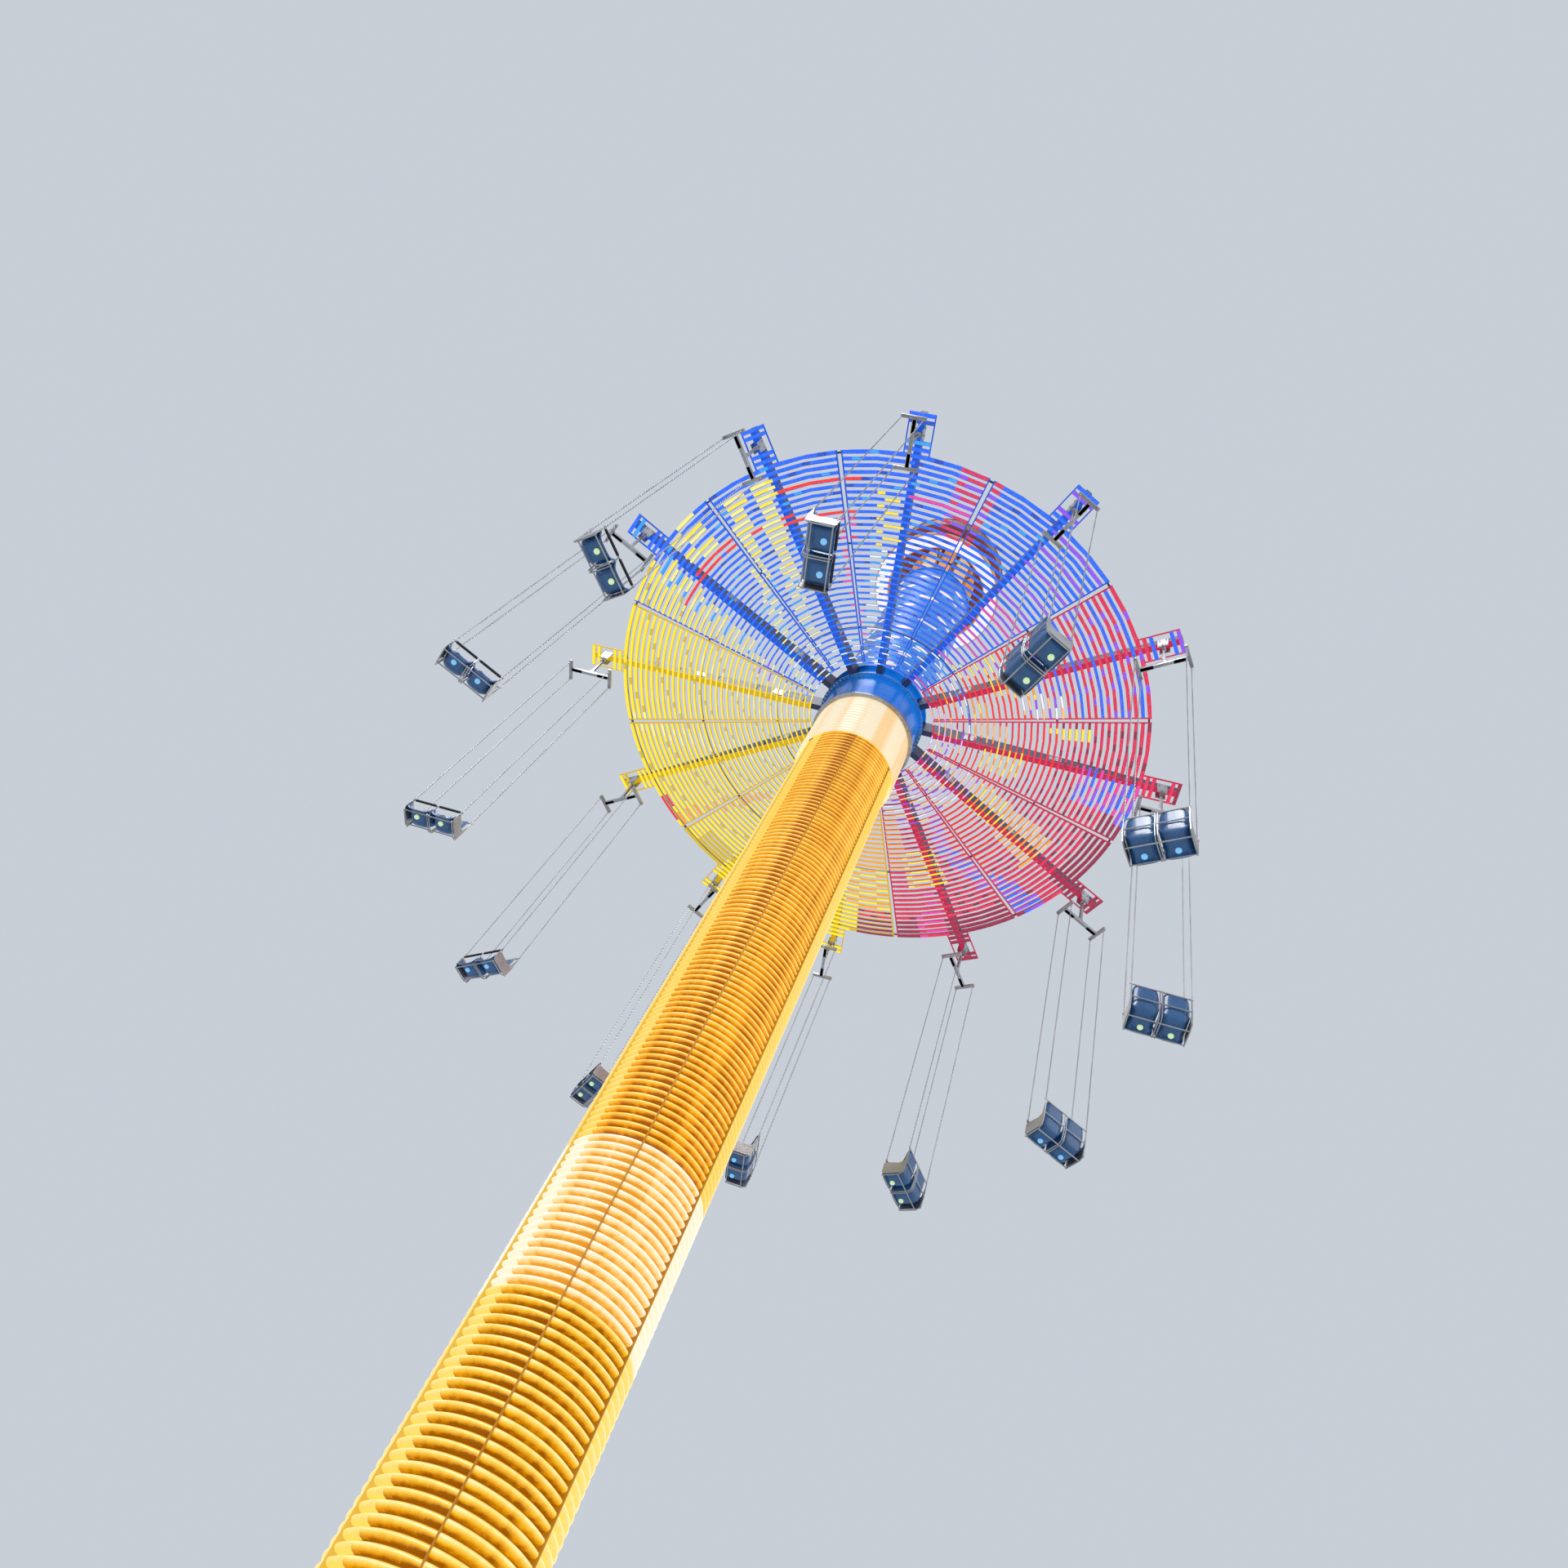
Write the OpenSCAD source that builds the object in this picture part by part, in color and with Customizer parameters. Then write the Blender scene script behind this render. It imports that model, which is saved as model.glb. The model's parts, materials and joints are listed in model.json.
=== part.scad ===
// Swing tower ride: round mast with ring lamps, lifting carriage, turning star and hanging twin chairs.
// Millimetres, +Z up, origin at the centre of the underside of the base flange.

/* [Mast] */
// Outer radius of the mast tube
mast_r = 880; // [700:10:1000]
// Wall of the mast tube
mast_wall = 30; // [12:1:60]
// Height of the top of the mast tube
mast_top = 34350; // [33600:10:35500]
// Running gap between round pieces that seat on each other
seat_gap = 0.3; // [0.1:0.1:1]

/* [Base] */
// Radius of the base flange
flange_r = 1700; // [1500:10:2200]
// Thickness of the base flange
flange_t = 60; // [30:5:100]
// Width of the flange inside the mast tube's bore
flange_lip = 150; // [60:10:300]
// Distance of the anchor bolt circle from the flange edge
bolt_edge = 220; // [120:10:300]
// Radius of an anchor bolt hole
bolt_r = 24; // [12:1:40]
// Number of arms, chairs, gussets and anchor bolts
count = 12; // [8:1:12]
// Height of the base gussets above the flange
gusset_h = 900; // [400:10:1100]
// Thickness of a base gusset
gusset_t = 30; // [15:5:50]
// Flange width left outside the gussets
gusset_edge = 70; // [40:10:150]

/* [Ring lamps] */
// Spacing of the ring lamps
lamp_pitch = 125; // [100:5:250]
// Depth of the trough behind the ring lamps
lamp_back = 60; // [40:5:80]
// How far a ring lamp stands out of the trough
lamp_out = 90; // [60:5:110]
// Gap between a guide blade and the lamps beside it
joint_gap = 5; // [3:1:12]
// Height of the lowest ring lamp edge
lamp_z0 = 1300; // [1200:25:2000]
// Height where the lower cream band starts
cream_z0 = 8175; // [6000:25:9000]
// Height where the lower cream band ends
cream_z1 = 10425; // [9500:25:12000]
// Height where the ring lamps of the upper tube start
upper_z0 = 21800; // [20000:25:23000]
// Height of the top of the ring lamps
lamp_top = 32300; // [30000:25:32500]

/* [Guide blades] */
// Thickness of a guide blade
blade_t = 16; // [10:1:30]
// How far a guide blade stands out past the ring lamps
blade_out = 15; // [10:1:25]

/* [Mast head] */
// Outer radius of the head staves
stave_r = 1000; // [940:10:1030]
// Angle that one head stave covers
stave_deg = 23; // [18:1:25]
// Gap between the ring lamps and the head staves
stave_gap = 50; // [20:10:100]
// Depth of the halo lamp's underside below the top of the mast
halo_drop = 1250; // [850:10:1450]
// Inner radius of the halo lamp
halo_r0 = 1420; // [1350:10:1500]
// Radial width of the halo lamp
halo_w = 440; // [200:10:500]
// Thickness of the halo lamp
halo_t = 160; // [80:10:200]
// Bevel of the halo lamp
halo_bevel = 40; // [10:5:60]
// Width of a halo bracket
bracket_w = 60; // [30:5:80]
// Depth of a halo bracket
bracket_t = 80; // [40:5:120]

/* [Crown] */
// Radius of the crown drum
crown_r = 1750; // [1500:10:1900]
// Thickness of the crown's underside plate
crown_plate_t = 70; // [40:5:120]
// How far the crown plate stands out past the drum
crown_lip = 30; // [10:5:80]
// Height of the crown drum
crown_h = 580; // [400:10:800]
// Radius of the lantern above the crown drum
lantern_r = 1180; // [900:10:1300]
// Height of the lantern
lantern_h = 650; // [400:10:800]
// Height of the cap
cap_h = 340; // [200:10:500]
// Radius of the flat top of the cap
cap_top_r = 420; // [200:10:600]
// Wall of the crown drums
crown_wall = 40; // [20:5:60]

/* [Carriage] */
// Clearance between the mast's ring lamps and the collar
collar_gap = 40; // [30:5:60]
// Wall of the collar and of the sleeve
collar_wall = 25; // [15:1:30]
// How far a collar lamp stands out
collar_out = 14; // [8:1:30]
// Height of the underside of the collar
collar_z0 = 21800; // [21000:25:22500]
// Height of the collar
collar_h = 1680; // [1400:10:1800]
// Thickness of the fixed slewing race
race_t = 65; // [40:5:90]
// Radial width of the slewing race
race_w = 110; // [100:10:200]
// Width of a guide shoe
shoe_w = 80; // [60:5:120]
// Height of a guide shoe
shoe_h = 240; // [160:10:400]
// Distance of the guide shoes from the ends of the collar
shoe_in = 60; // [20:10:200]
// Clearance between the ring lamps and a guide shoe
shoe_clear = 6; // [5:1:10]
// Clearance of a guide shoe on each side of its blade
shoe_gap = 0.5; // [0.3:0.1:2]

/* [Star] */
// Running gap of the slewing ring
slew_gap = 6; // [5:1:10]
// Width of the raised track that the star turns on
track_w = 50; // [30:5:80]
// Angle that the star stands turned by at rest
star_turn = -7.5; // [-15:0.5:15]
// Height of the underside of the star's arms
arm_z = 24500; // [24300:10:24800]
// Width of an arm
arm_w = 140; // [100:5:180]
// Depth of an arm at the hub
arm_root_h = 400; // [250:10:450]
// Depth of an arm at its tip
arm_tip_h = 140; // [130:5:200]
// Thickness of a hub flange
hub_flange_t = 30; // [16:2:40]
// Radial width of the hub flanges
hub_flange_w = 100; // [60:10:300]
// Wall of the hub drum
hub_wall = 45; // [25:5:60]
// Height of the hub drum above its upper flange
hub_head = 70; // [40:5:120]
// Thickness of the hub's foot ring
hub_foot_t = 60; // [40:5:80]
// Height of the top of the blue sleeve
sleeve_top = 32300; // [31500:10:32400]
// Depth of the rim at the top of the sleeve
rim_h = 60; // [30:5:100]
// How far the rim at the top of the sleeve stands out
rim_out = 30; // [15:5:50]
// Height of one lamp stroke on the sleeve
stroke_h = 220; // [60:10:260]
// Thickness of a lamp stroke
stroke_t = 12; // [6:1:20]
// Distance between the rows of lamp strokes
stroke_pitch = 770; // [400:10:1000]
// Distance of the lowest row of lamp strokes above the hub
stroke_gap = 350; // [100:10:600]
// Least distance of the highest lamp stroke from the rim
stroke_rim_gap = 200; // [50:10:400]

/* [Light bars] */
// Spacing of the light bars along an arm
bar_pitch = 140; // [120:5:200]
// Width of the innermost light bar
bar_w = 35; // [25:5:60]
// Width of the outermost light bars
rim_bar_w = 80; // [40:5:90]
// Depth of the light bar panels
bar_t = 35; // [30:5:60]
// Distance from the hub's flange to the innermost light bar
bar_gap = 240; // [60:10:300]
// Number of light bars that span the whole panel
bar_n = 35; // [30:1:35]
// Number of bar spacings in the narrow tip
tip_n = 6; // [6:1:7]
// Half angle of a light bar panel
fan_deg = 14.6; // [10:0.2:14.6]
// Width of the panel's side rails
side_w = 25; // [25:5:60]
// Half width of the narrow tip
tip_half = 280; // [200:10:320]
// Size of a hoop rail's section
hoop_s = 40; // [30:5:100]

/* [Hanging chairs] */
// Thickness of a hanger lug
lug_t = 18; // [10:1:24]
// Length of a hanger lug along the arm
lug_l = 220; // [140:10:260]
// Distance of the swing pin below the arm
pin_drop = 200; // [170:5:260]
// Radius of the swing pin
pin_r = 20; // [12:1:26]
// Clearance of the swing pin in its eye
pin_gap = 0.6; // [0.3:0.1:1]
// Wall of the eye around the swing pin
eye_wall = 25; // [15:1:35]
// Gap between the eye and each lug
eye_side = 10; // [6:1:20]
// Distance of the spreader below the swing pin
neck_l = 790; // [740:10:1000]
// Width of the neck
neck_w = 50; // [30:5:70]
// Width of the spreader
spreader_w = 70; // [40:5:90]
// Depth of the spreader
spreader_h = 90; // [60:5:120]
// Radius of a chair chain
link_r = 8; // [6:1:14]
// Width of a twin chair
chair_w = 1040; // [900:10:1100]
// Depth of a chair from back to front
chair_d = 500; // [420:10:560]
// Wall of the chair's sides
chair_wall = 30; // [20:2:40]
// Thickness of the chair's seat pan
pan_t = 50; // [30:5:70]
// Distance of the underside of a chair below the swing pin
chair_drop = 7850; // [7500:10:8000]
// Height of the chair's back
back_h = 700; // [500:10:800]
// Height of the chair's side walls
side_h = 300; // [220:10:360]
// Thickness of the chair's back
back_t = 40; // [25:5:60]
// Radius of the lap bar
lap_r = 16; // [10:1:22]
// Height of the lap bar above the side walls
lap_up = 70; // [50:5:120]

/* [Hidden] */
$fn = 96;
step = 360 / count;
lamp_r0 = mast_r + seat_gap;
lamp_r1 = mast_r + lamp_back;
lamp_r2 = lamp_r1 + lamp_out;
blade_r = lamp_r2 + blade_out;
sleeve_r0 = lamp_r2 + collar_gap;
sleeve_r1 = sleeve_r0 + collar_wall;
collar_z1 = collar_z0 + collar_h;
race_r1 = sleeve_r0 + race_w;
hub_z0 = collar_z1 + race_t + slew_gap;
sleeve_z0 = hub_z0 + hub_foot_t;
hub_r0 = sleeve_r1 + seat_gap;
hub_r1 = hub_r0 + hub_wall;
hub_r2 = hub_r1 + hub_flange_w;
arm_r0 = hub_r1 + seat_gap;
arm_top = arm_z + arm_root_h;
stroke_z0 = arm_top + hub_flange_t + hub_head + stroke_gap;
stroke_rows = floor((sleeve_top - rim_h - stroke_rim_gap - stroke_h - stroke_z0) / stroke_pitch) + 1;
bar_r0 = hub_r2 + bar_gap;
bar_end = bar_r0 + (bar_n - 1) * bar_pitch + rim_bar_w;
tip_end = bar_end + tip_n * bar_pitch;
pin_x = bar_end + 2 * bar_pitch + (3 * bar_pitch - rim_bar_w) / 2;
pin_z = arm_z - pin_drop;
eye_r = pin_r + pin_gap + eye_wall;
eye_half = arm_w / 2 - eye_side;
chair_z = pin_z - chair_drop;
spread_z = pin_z - neck_l;
chain_x = (chair_w - chair_wall) / 2;
chair_y0 = -chair_d / 2 - back_t / 2;
chair_y1 = chair_y0 + chair_d;
link_y0 = chair_y0 + back_t / 2;
link_y1 = chair_y1 - back_t;
halo_z = mast_top - halo_drop;
crown_z0 = mast_top + crown_plate_t;
lantern_z0 = crown_z0 + crown_h;
cap_z0 = lantern_z0 + lantern_h;

module tube(r0, r1, z0, z1) {
  rotate_extrude() polygon([[r0, z0], [r1, z0], [r1, z1], [r0, z1]]);
}

// Toothed profile of ring lamps on a trough
function lamp_profile(r0, r1, r2, z0, z1) = concat(
  [[r0, z0], [r1, z0]],
  [for (i = [0 : floor((z1 - z0) / lamp_pitch + 0.001) - 1], k = [0 : 3])
    [k == 1 || k == 2 ? r2 : r1, z0 + lamp_pitch * (i + [0.1, 0.26, 0.74, 0.9][k])]],
  [[r1, z1], [r0, z1]]);

// Six segments of ring lamps, with a joint between them for each guide blade
module lamp_segments(z0, z1) {
  edge = asin((blade_t / 2 + joint_gap) / lamp_r0);
  for (q = [0 : 5])
    rotate([0, 0, q * 60 + 30 + edge])
      rotate_extrude(angle = 60 - 2 * edge)
        polygon(lamp_profile(lamp_r0, lamp_r1, lamp_r2, z0, z1));
}

module base_flange() {
  color([0.30, 0.31, 0.33]) union() {
    difference() {
      tube(mast_r - flange_lip, flange_r, 0, flange_t);
      for (k = [0 : count - 1])
        rotate([0, 0, k * step])
          translate([flange_r - bolt_edge, 0, -1])
            cylinder(r = bolt_r, h = flange_t + 2);
    }
    for (k = [0 : count - 1])
      rotate([0, 0, (k + 0.5) * step])
        translate([0, gusset_t / 2, 0])
          rotate([90, 0, 0])
            linear_extrude(height = gusset_t)
              polygon([[mast_r + seat_gap, flange_t - 5], [flange_r - gusset_edge, flange_t - 5],
                [flange_r - gusset_edge, flange_t + 60], [mast_r + 120, flange_t + gusset_h],
                [mast_r + seat_gap, flange_t + gusset_h]]);
  }
}

module mast_foot() {
  color([0.42, 0.38, 0.30]) tube(mast_r - mast_wall, mast_r, flange_t, cream_z0);
}

module mast_shaft() {
  color([0.42, 0.38, 0.30]) tube(mast_r - mast_wall, mast_r, cream_z0, upper_z0);
}

module mast_upper() {
  color([0.42, 0.38, 0.30]) tube(mast_r - mast_wall, mast_r, upper_z0, mast_top);
}

module guide_blades() {
  color([0.62, 0.55, 0.40]) for (q = [0 : 5])
    rotate([0, 0, q * 60 + 30])
      difference() {
        translate([mast_r - 20, -blade_t / 2, lamp_z0])
          cube([blade_r - mast_r + 20, blade_t, lamp_top - lamp_z0]);
        cylinder(r = mast_r + seat_gap, h = mast_top);
      }
}

module ring_lamps_foot() {
  color([1.0, 0.72, 0.18]) lamp_segments(lamp_z0, cream_z0);
}

module ring_lamps_cream() {
  color([1.0, 0.95, 0.78]) lamp_segments(cream_z0, cream_z1);
}

module ring_lamps_shaft() {
  color([1.0, 0.68, 0.14]) lamp_segments(cream_z1, upper_z0);
}

module ring_lamps_upper() {
  color([0.95, 0.66, 0.16]) lamp_segments(upper_z0, lamp_top);
}

module staves(first) {
  for (k = [first : 2 : 11])
    rotate([0, 0, k * 30 - stave_deg / 2])
      rotate_extrude(angle = stave_deg)
        polygon([[lamp_r0, lamp_top + stave_gap], [stave_r, lamp_top + stave_gap],
          [stave_r, mast_top - stave_gap], [lamp_r0, mast_top - stave_gap]]);
}

module head_staves_cream() {
  color([1.0, 0.93, 0.74]) staves(0);
}

module head_staves_orange() {
  color([0.96, 0.62, 0.18]) staves(1);
}

module halo_lamp() {
  color([1.0, 0.98, 0.94]) rotate_extrude()
    polygon([[halo_r0, halo_z + halo_bevel], [halo_r0 + halo_bevel, halo_z],
      [halo_r0 + halo_w - halo_bevel, halo_z], [halo_r0 + halo_w, halo_z + halo_bevel],
      [halo_r0 + halo_w, halo_z + halo_t], [halo_r0, halo_z + halo_t]]);
}

module halo_brackets() {
  color([0.30, 0.26, 0.22]) for (k = [0 : 2 : 11])
    rotate([0, 0, (k + 0.5) * 30])
      difference() {
        translate([mast_r - 20, -bracket_w / 2, halo_z + halo_t])
          cube([halo_r0 + halo_w - halo_bevel - mast_r + 20, bracket_w, bracket_t]);
        cylinder(r = mast_r + seat_gap, h = mast_top);
      }
}

module crown_plate() {
  color([0.30, 0.14, 0.12]) tube(mast_r - flange_lip, crown_r + crown_lip, mast_top, crown_z0);
}

module crown_drum() {
  color([0.45, 0.32, 0.22]) rotate_extrude()
    polygon([[crown_r - crown_wall, crown_z0], [crown_r, crown_z0], [crown_r, lantern_z0],
      [lantern_r - 2 * crown_wall, lantern_z0], [lantern_r - 2 * crown_wall, lantern_z0 - crown_wall],
      [crown_r - crown_wall, lantern_z0 - crown_wall]]);
}

module crown_lantern() {
  color([0.55, 0.38, 0.25]) tube(lantern_r - crown_wall, lantern_r, lantern_z0, cap_z0);
}

module crown_cap() {
  color([0.50, 0.35, 0.24]) rotate_extrude()
    polygon([[0, cap_z0], [lantern_r + crown_lip, cap_z0], [lantern_r + crown_lip, cap_z0 + cap_h * 0.18],
      [cap_top_r, cap_z0 + cap_h], [0, cap_z0 + cap_h]]);
}

module lamp_collar() {
  color([1.0, 0.95, 0.80]) rotate_extrude()
    polygon(lamp_profile(sleeve_r0, sleeve_r1, sleeve_r1 + collar_out, collar_z0, collar_z1));
}

// Sliding shoes inside the collar, each with a groove for its guide blade
module guide_shoes() {
  shoe_r0 = lamp_r2 + shoe_clear;
  shoe_r1 = sqrt(pow(sleeve_r0 - seat_gap, 2) - pow(shoe_w / 2, 2));
  color([0.20, 0.21, 0.23])
    for (q = [0 : 5], z = [collar_z0 + shoe_in, collar_z1 - shoe_in - shoe_h])
      rotate([0, 0, q * 60 + 30])
        difference() {
          translate([shoe_r0, -shoe_w / 2, z]) cube([shoe_r1 - shoe_r0, shoe_w, shoe_h]);
          translate([shoe_r0 - 1, -blade_t / 2 - shoe_gap, z - 1])
            cube([blade_r + shoe_gap - shoe_r0 + 1, blade_t + 2 * shoe_gap, shoe_h + 2]);
        }
}

// Fixed race with the raised track that the star turns on
module slewing_race() {
  track = (sleeve_r0 + race_r1 - track_w) / 2;
  z0 = collar_z1 + race_t;
  z1 = hub_z0 - seat_gap;
  color([0.40, 0.42, 0.45]) rotate_extrude()
    polygon([[sleeve_r0, collar_z1], [race_r1, collar_z1], [race_r1, z0], [track + track_w, z0],
      [track + track_w, z1], [track, z1], [track, z0], [sleeve_r0, z0]]);
}

module star_hub() {
  color([0.08, 0.22, 0.62]) rotate_extrude()
    polygon([[sleeve_r0, hub_z0], [race_r1, hub_z0], [race_r1, sleeve_z0], [hub_r1, sleeve_z0],
      [hub_r1, arm_z - hub_flange_t], [hub_r2, arm_z - hub_flange_t], [hub_r2, arm_z], [hub_r1, arm_z],
      [hub_r1, arm_top], [hub_r2, arm_top], [hub_r2, arm_top + hub_flange_t],
      [hub_r1, arm_top + hub_flange_t], [hub_r1, arm_top + hub_flange_t + hub_head],
      [hub_r0, arm_top + hub_flange_t + hub_head], [hub_r0, sleeve_z0], [sleeve_r0, sleeve_z0]]);
}

module blue_sleeve() {
  color([0.05, 0.32, 0.80]) rotate_extrude()
    polygon([[sleeve_r0, sleeve_z0], [sleeve_r1, sleeve_z0], [sleeve_r1, sleeve_top - rim_h],
      [sleeve_r1 + rim_out, sleeve_top - rim_h], [sleeve_r1 + rim_out, sleeve_top],
      [sleeve_r0, sleeve_top]]);
}

// Lamp strokes in staggered rows, a plain pattern
module sleeve_strokes() {
  color([1.0, 0.90, 0.92]) for (i = [0 : stroke_rows - 1], k = [0 : 5])
    rotate([0, 0, k * 60 + i * 23])
      translate([0, 0, stroke_z0 + i * stroke_pitch])
        rotate_extrude(angle = 24 + 6 * ((i + 2 * k) % 3))
          polygon([[sleeve_r1 + seat_gap, 0], [sleeve_r1 + seat_gap + stroke_t, 0],
            [sleeve_r1 + seat_gap + stroke_t, stroke_h], [sleeve_r1 + seat_gap, stroke_h]]);
}

module star_arms() {
  color([0.10, 0.13, 0.28]) for (k = [0 : count - 1])
    rotate([0, 0, k * step + star_turn])
      translate([0, arm_w / 2, 0])
        rotate([90, 0, 0])
          linear_extrude(height = arm_w)
            polygon([[arm_r0, arm_z + seat_gap], [tip_end, arm_z + seat_gap],
              [tip_end, arm_z + arm_tip_h], [hub_r2 + 20, arm_top - seat_gap],
              [arm_r0, arm_top - seat_gap]]);
}

function arc_points(r, a, b, n) = [for (i = [0 : n]) [r * cos(a + (b - a) * i / n), r * sin(a + (b - a) * i / n)]];
function bar_low(i) = bar_r0 + i * bar_pitch;
function bar_high(i) = bar_low(i) + bar_w + (rim_bar_w - bar_w) * pow(min(i / (bar_n - 1), 1), 2);
function half_slot(i, s) = let (
  r0 = bar_high(i), r1 = bar_low(i + 1),
  a0 = asin(arm_w / 2 / r0), a1 = asin(arm_w / 2 / r1),
  b0 = fan_deg - asin(side_w / r0), b1 = fan_deg - asin(side_w / r1))
  concat(arc_points(r0, s * a0, s * b0, 2), arc_points(r1, s * b1, s * a1, 2));
function tip_slot(i, j, s) = let (r0 = bar_high(i), r1 = bar_low(j))
  [[r0, s * arm_w / 2], [r0, s * (tip_half - side_w)], [r1, s * (tip_half - side_w)], [r1, s * arm_w / 2]];
function fan_outline() = concat(
  arc_points(bar_r0, -fan_deg, fan_deg, 4),
  arc_points(bar_end, fan_deg, asin(tip_half / bar_end), 2),
  [[tip_end, tip_half], [tip_end, -tip_half]],
  arc_points(bar_end, -asin(tip_half / bar_end), -fan_deg, 2));
function run(n, k) = [for (i = [0 : n - 1]) k + i];

// One panel of light bars under an arm, with a narrow tip
module fan_panel() {
  last = bar_n - 1;
  holes = concat(
    [for (i = [0 : bar_n - 2], s = [-1, 1]) half_slot(i, s)],
    [for (p = [[0, 1], [1, 2], [2, 5], [5, 6]], s = [-1, 1]) tip_slot(last + p[0], last + p[1], s)]);
  outline = fan_outline();
  lens = [for (h = holes) len(h)];
  starts = [for (i = 0, t = len(outline); i < len(holes); t = t + lens[i], i = i + 1) t];
  translate([0, 0, arm_z - bar_t])
    linear_extrude(height = bar_t)
      polygon(points = concat(outline, [for (h = holes) each h]),
        paths = concat([run(len(outline), 0)], [for (i = [0 : len(holes) - 1]) run(lens[i], starts[i])]));
}

module fans(arms) {
  for (k = arms)
    if (k < count) rotate([0, 0, k * step + star_turn]) fan_panel();
}

module light_bars_yellow() {
  color([0.98, 0.86, 0.10]) fans([3, 4, 5, 6]);
}

module light_bars_blue() {
  color([0.05, 0.35, 0.95]) fans([7, 8, 9, 10]);
}

module light_bars_red() {
  color([0.88, 0.10, 0.28]) fans([11, 0, 1, 2]);
}

module hoop_rails() {
  color([0.12, 0.14, 0.26]) translate([0, 0, arm_z + seat_gap])
    linear_extrude(height = hoop_s)
      difference() {
        for (i = [6, 20, 34])
          difference() {
            circle(r = bar_low(i) + hoop_s, $fn = 720);
            circle(r = bar_low(i), $fn = 720);
          }
        for (k = [0 : count - 1])
          rotate([0, 0, k * step + star_turn])
            translate([0, -arm_w / 2 - seat_gap]) square([tip_end, arm_w + 2 * seat_gap]);
      }
}

module hanger_lugs() {
  color([0.55, 0.56, 0.58]) for (k = [0 : count - 1])
    rotate([0, 0, k * step + star_turn]) {
      for (y = [-arm_w / 2 - lug_t, arm_w / 2])
        translate([pin_x - lug_l / 2, y, pin_z - pin_r - eye_wall])
          cube([lug_l, lug_t, pin_drop + pin_r + eye_wall + arm_tip_h * 0.8]);
      translate([pin_x, arm_w / 2 + lug_t / 2, pin_z])
        rotate([90, 0, 0]) cylinder(r = pin_r, h = arm_w + lug_t);
    }
}

module hanger() {
  difference() {
    union() {
      translate([0, eye_half, pin_z]) rotate([90, 0, 0]) cylinder(r = eye_r, h = 2 * eye_half);
      translate([-neck_w / 2, -eye_half / 2, spread_z]) cube([neck_w, eye_half, neck_l]);
    }
    translate([0, eye_half + 1, pin_z]) rotate([90, 0, 0]) cylinder(r = pin_r + pin_gap, h = 2 * eye_half + 2);
  }
  translate([-chain_x, -spreader_w / 2, spread_z - spreader_h / 2]) cube([2 * chain_x, spreader_w, spreader_h]);
  for (s = [-1, 1])
    translate([s * chain_x - spreader_w / 2, link_y0 - spreader_w / 2, spread_z - spreader_h / 2])
      cube([spreader_w, link_y1 - link_y0 + spreader_w, spreader_h]);
}

module chair() {
  translate([0, 0, chair_z]) {
    difference() {
      translate([-chair_w / 2, chair_y0, 0]) cube([chair_w, chair_d, back_h]);
      translate([-chair_w / 2 - 1, chair_y0 + back_t, side_h]) cube([chair_w + 2, chair_d, back_h]);
      for (x = [-chair_w / 2 + chair_wall, chair_wall / 2])
        translate([x, chair_y0 + back_t, pan_t])
          cube([chair_w / 2 - 1.5 * chair_wall, chair_d, back_h]);
    }
    for (s = [-1, 1])
      translate([s * chain_x - chair_wall / 2, link_y1 - chair_wall, side_h - 10])
        cube([chair_wall, 2 * chair_wall, lap_up + 3 * lap_r]);
    translate([-chain_x, link_y1, side_h + lap_up])
      rotate([0, 90, 0]) cylinder(r = lap_r, h = 2 * chain_x);
  }
}

module twin_chair(k) {
  if (k <= count)
    rotate([0, 0, (k - 1) * step + star_turn])
      translate([pin_x, 0, 0])
        color([0.55, 0.60, 0.66]) union() {
          hanger();
          for (s = [-1, 1]) {
            translate([s * chain_x, link_y0, chair_z + back_h - 10])
              cylinder(r = link_r, h = spread_z - chair_z - back_h);
            translate([s * chain_x, link_y1, chair_z + side_h + lap_up])
              cylinder(r = link_r, h = spread_z - chair_z - side_h - lap_up);
          }
          chair();
        }
}

base_flange();
mast_foot();
mast_shaft();
mast_upper();
guide_blades();
ring_lamps_foot();
ring_lamps_cream();
ring_lamps_shaft();
ring_lamps_upper();
head_staves_cream();
head_staves_orange();
halo_lamp();
halo_brackets();
crown_plate();
crown_drum();
crown_lantern();
crown_cap();
lamp_collar();
guide_shoes();
slewing_race();
star_hub();
blue_sleeve();
sleeve_strokes();
star_arms();
light_bars_yellow();
light_bars_blue();
light_bars_red();
hoop_rails();
hanger_lugs();
twin_chair(1);  // twin_chair_01
twin_chair(2);  // twin_chair_02
twin_chair(3);  // twin_chair_03
twin_chair(4);  // twin_chair_04
twin_chair(5);  // twin_chair_05
twin_chair(6);  // twin_chair_06
twin_chair(7);  // twin_chair_07
twin_chair(8);  // twin_chair_08
twin_chair(9);  // twin_chair_09
twin_chair(10);  // twin_chair_10
twin_chair(11);  // twin_chair_11
twin_chair(12);  // twin_chair_12
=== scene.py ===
"""Looks of the swing tower ride: ring lamps, light bars, sleeve, crown, foot and hanging twin chairs."""

import json
import math

import bmesh
import bpy
from mathutils import Matrix, Vector


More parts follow.
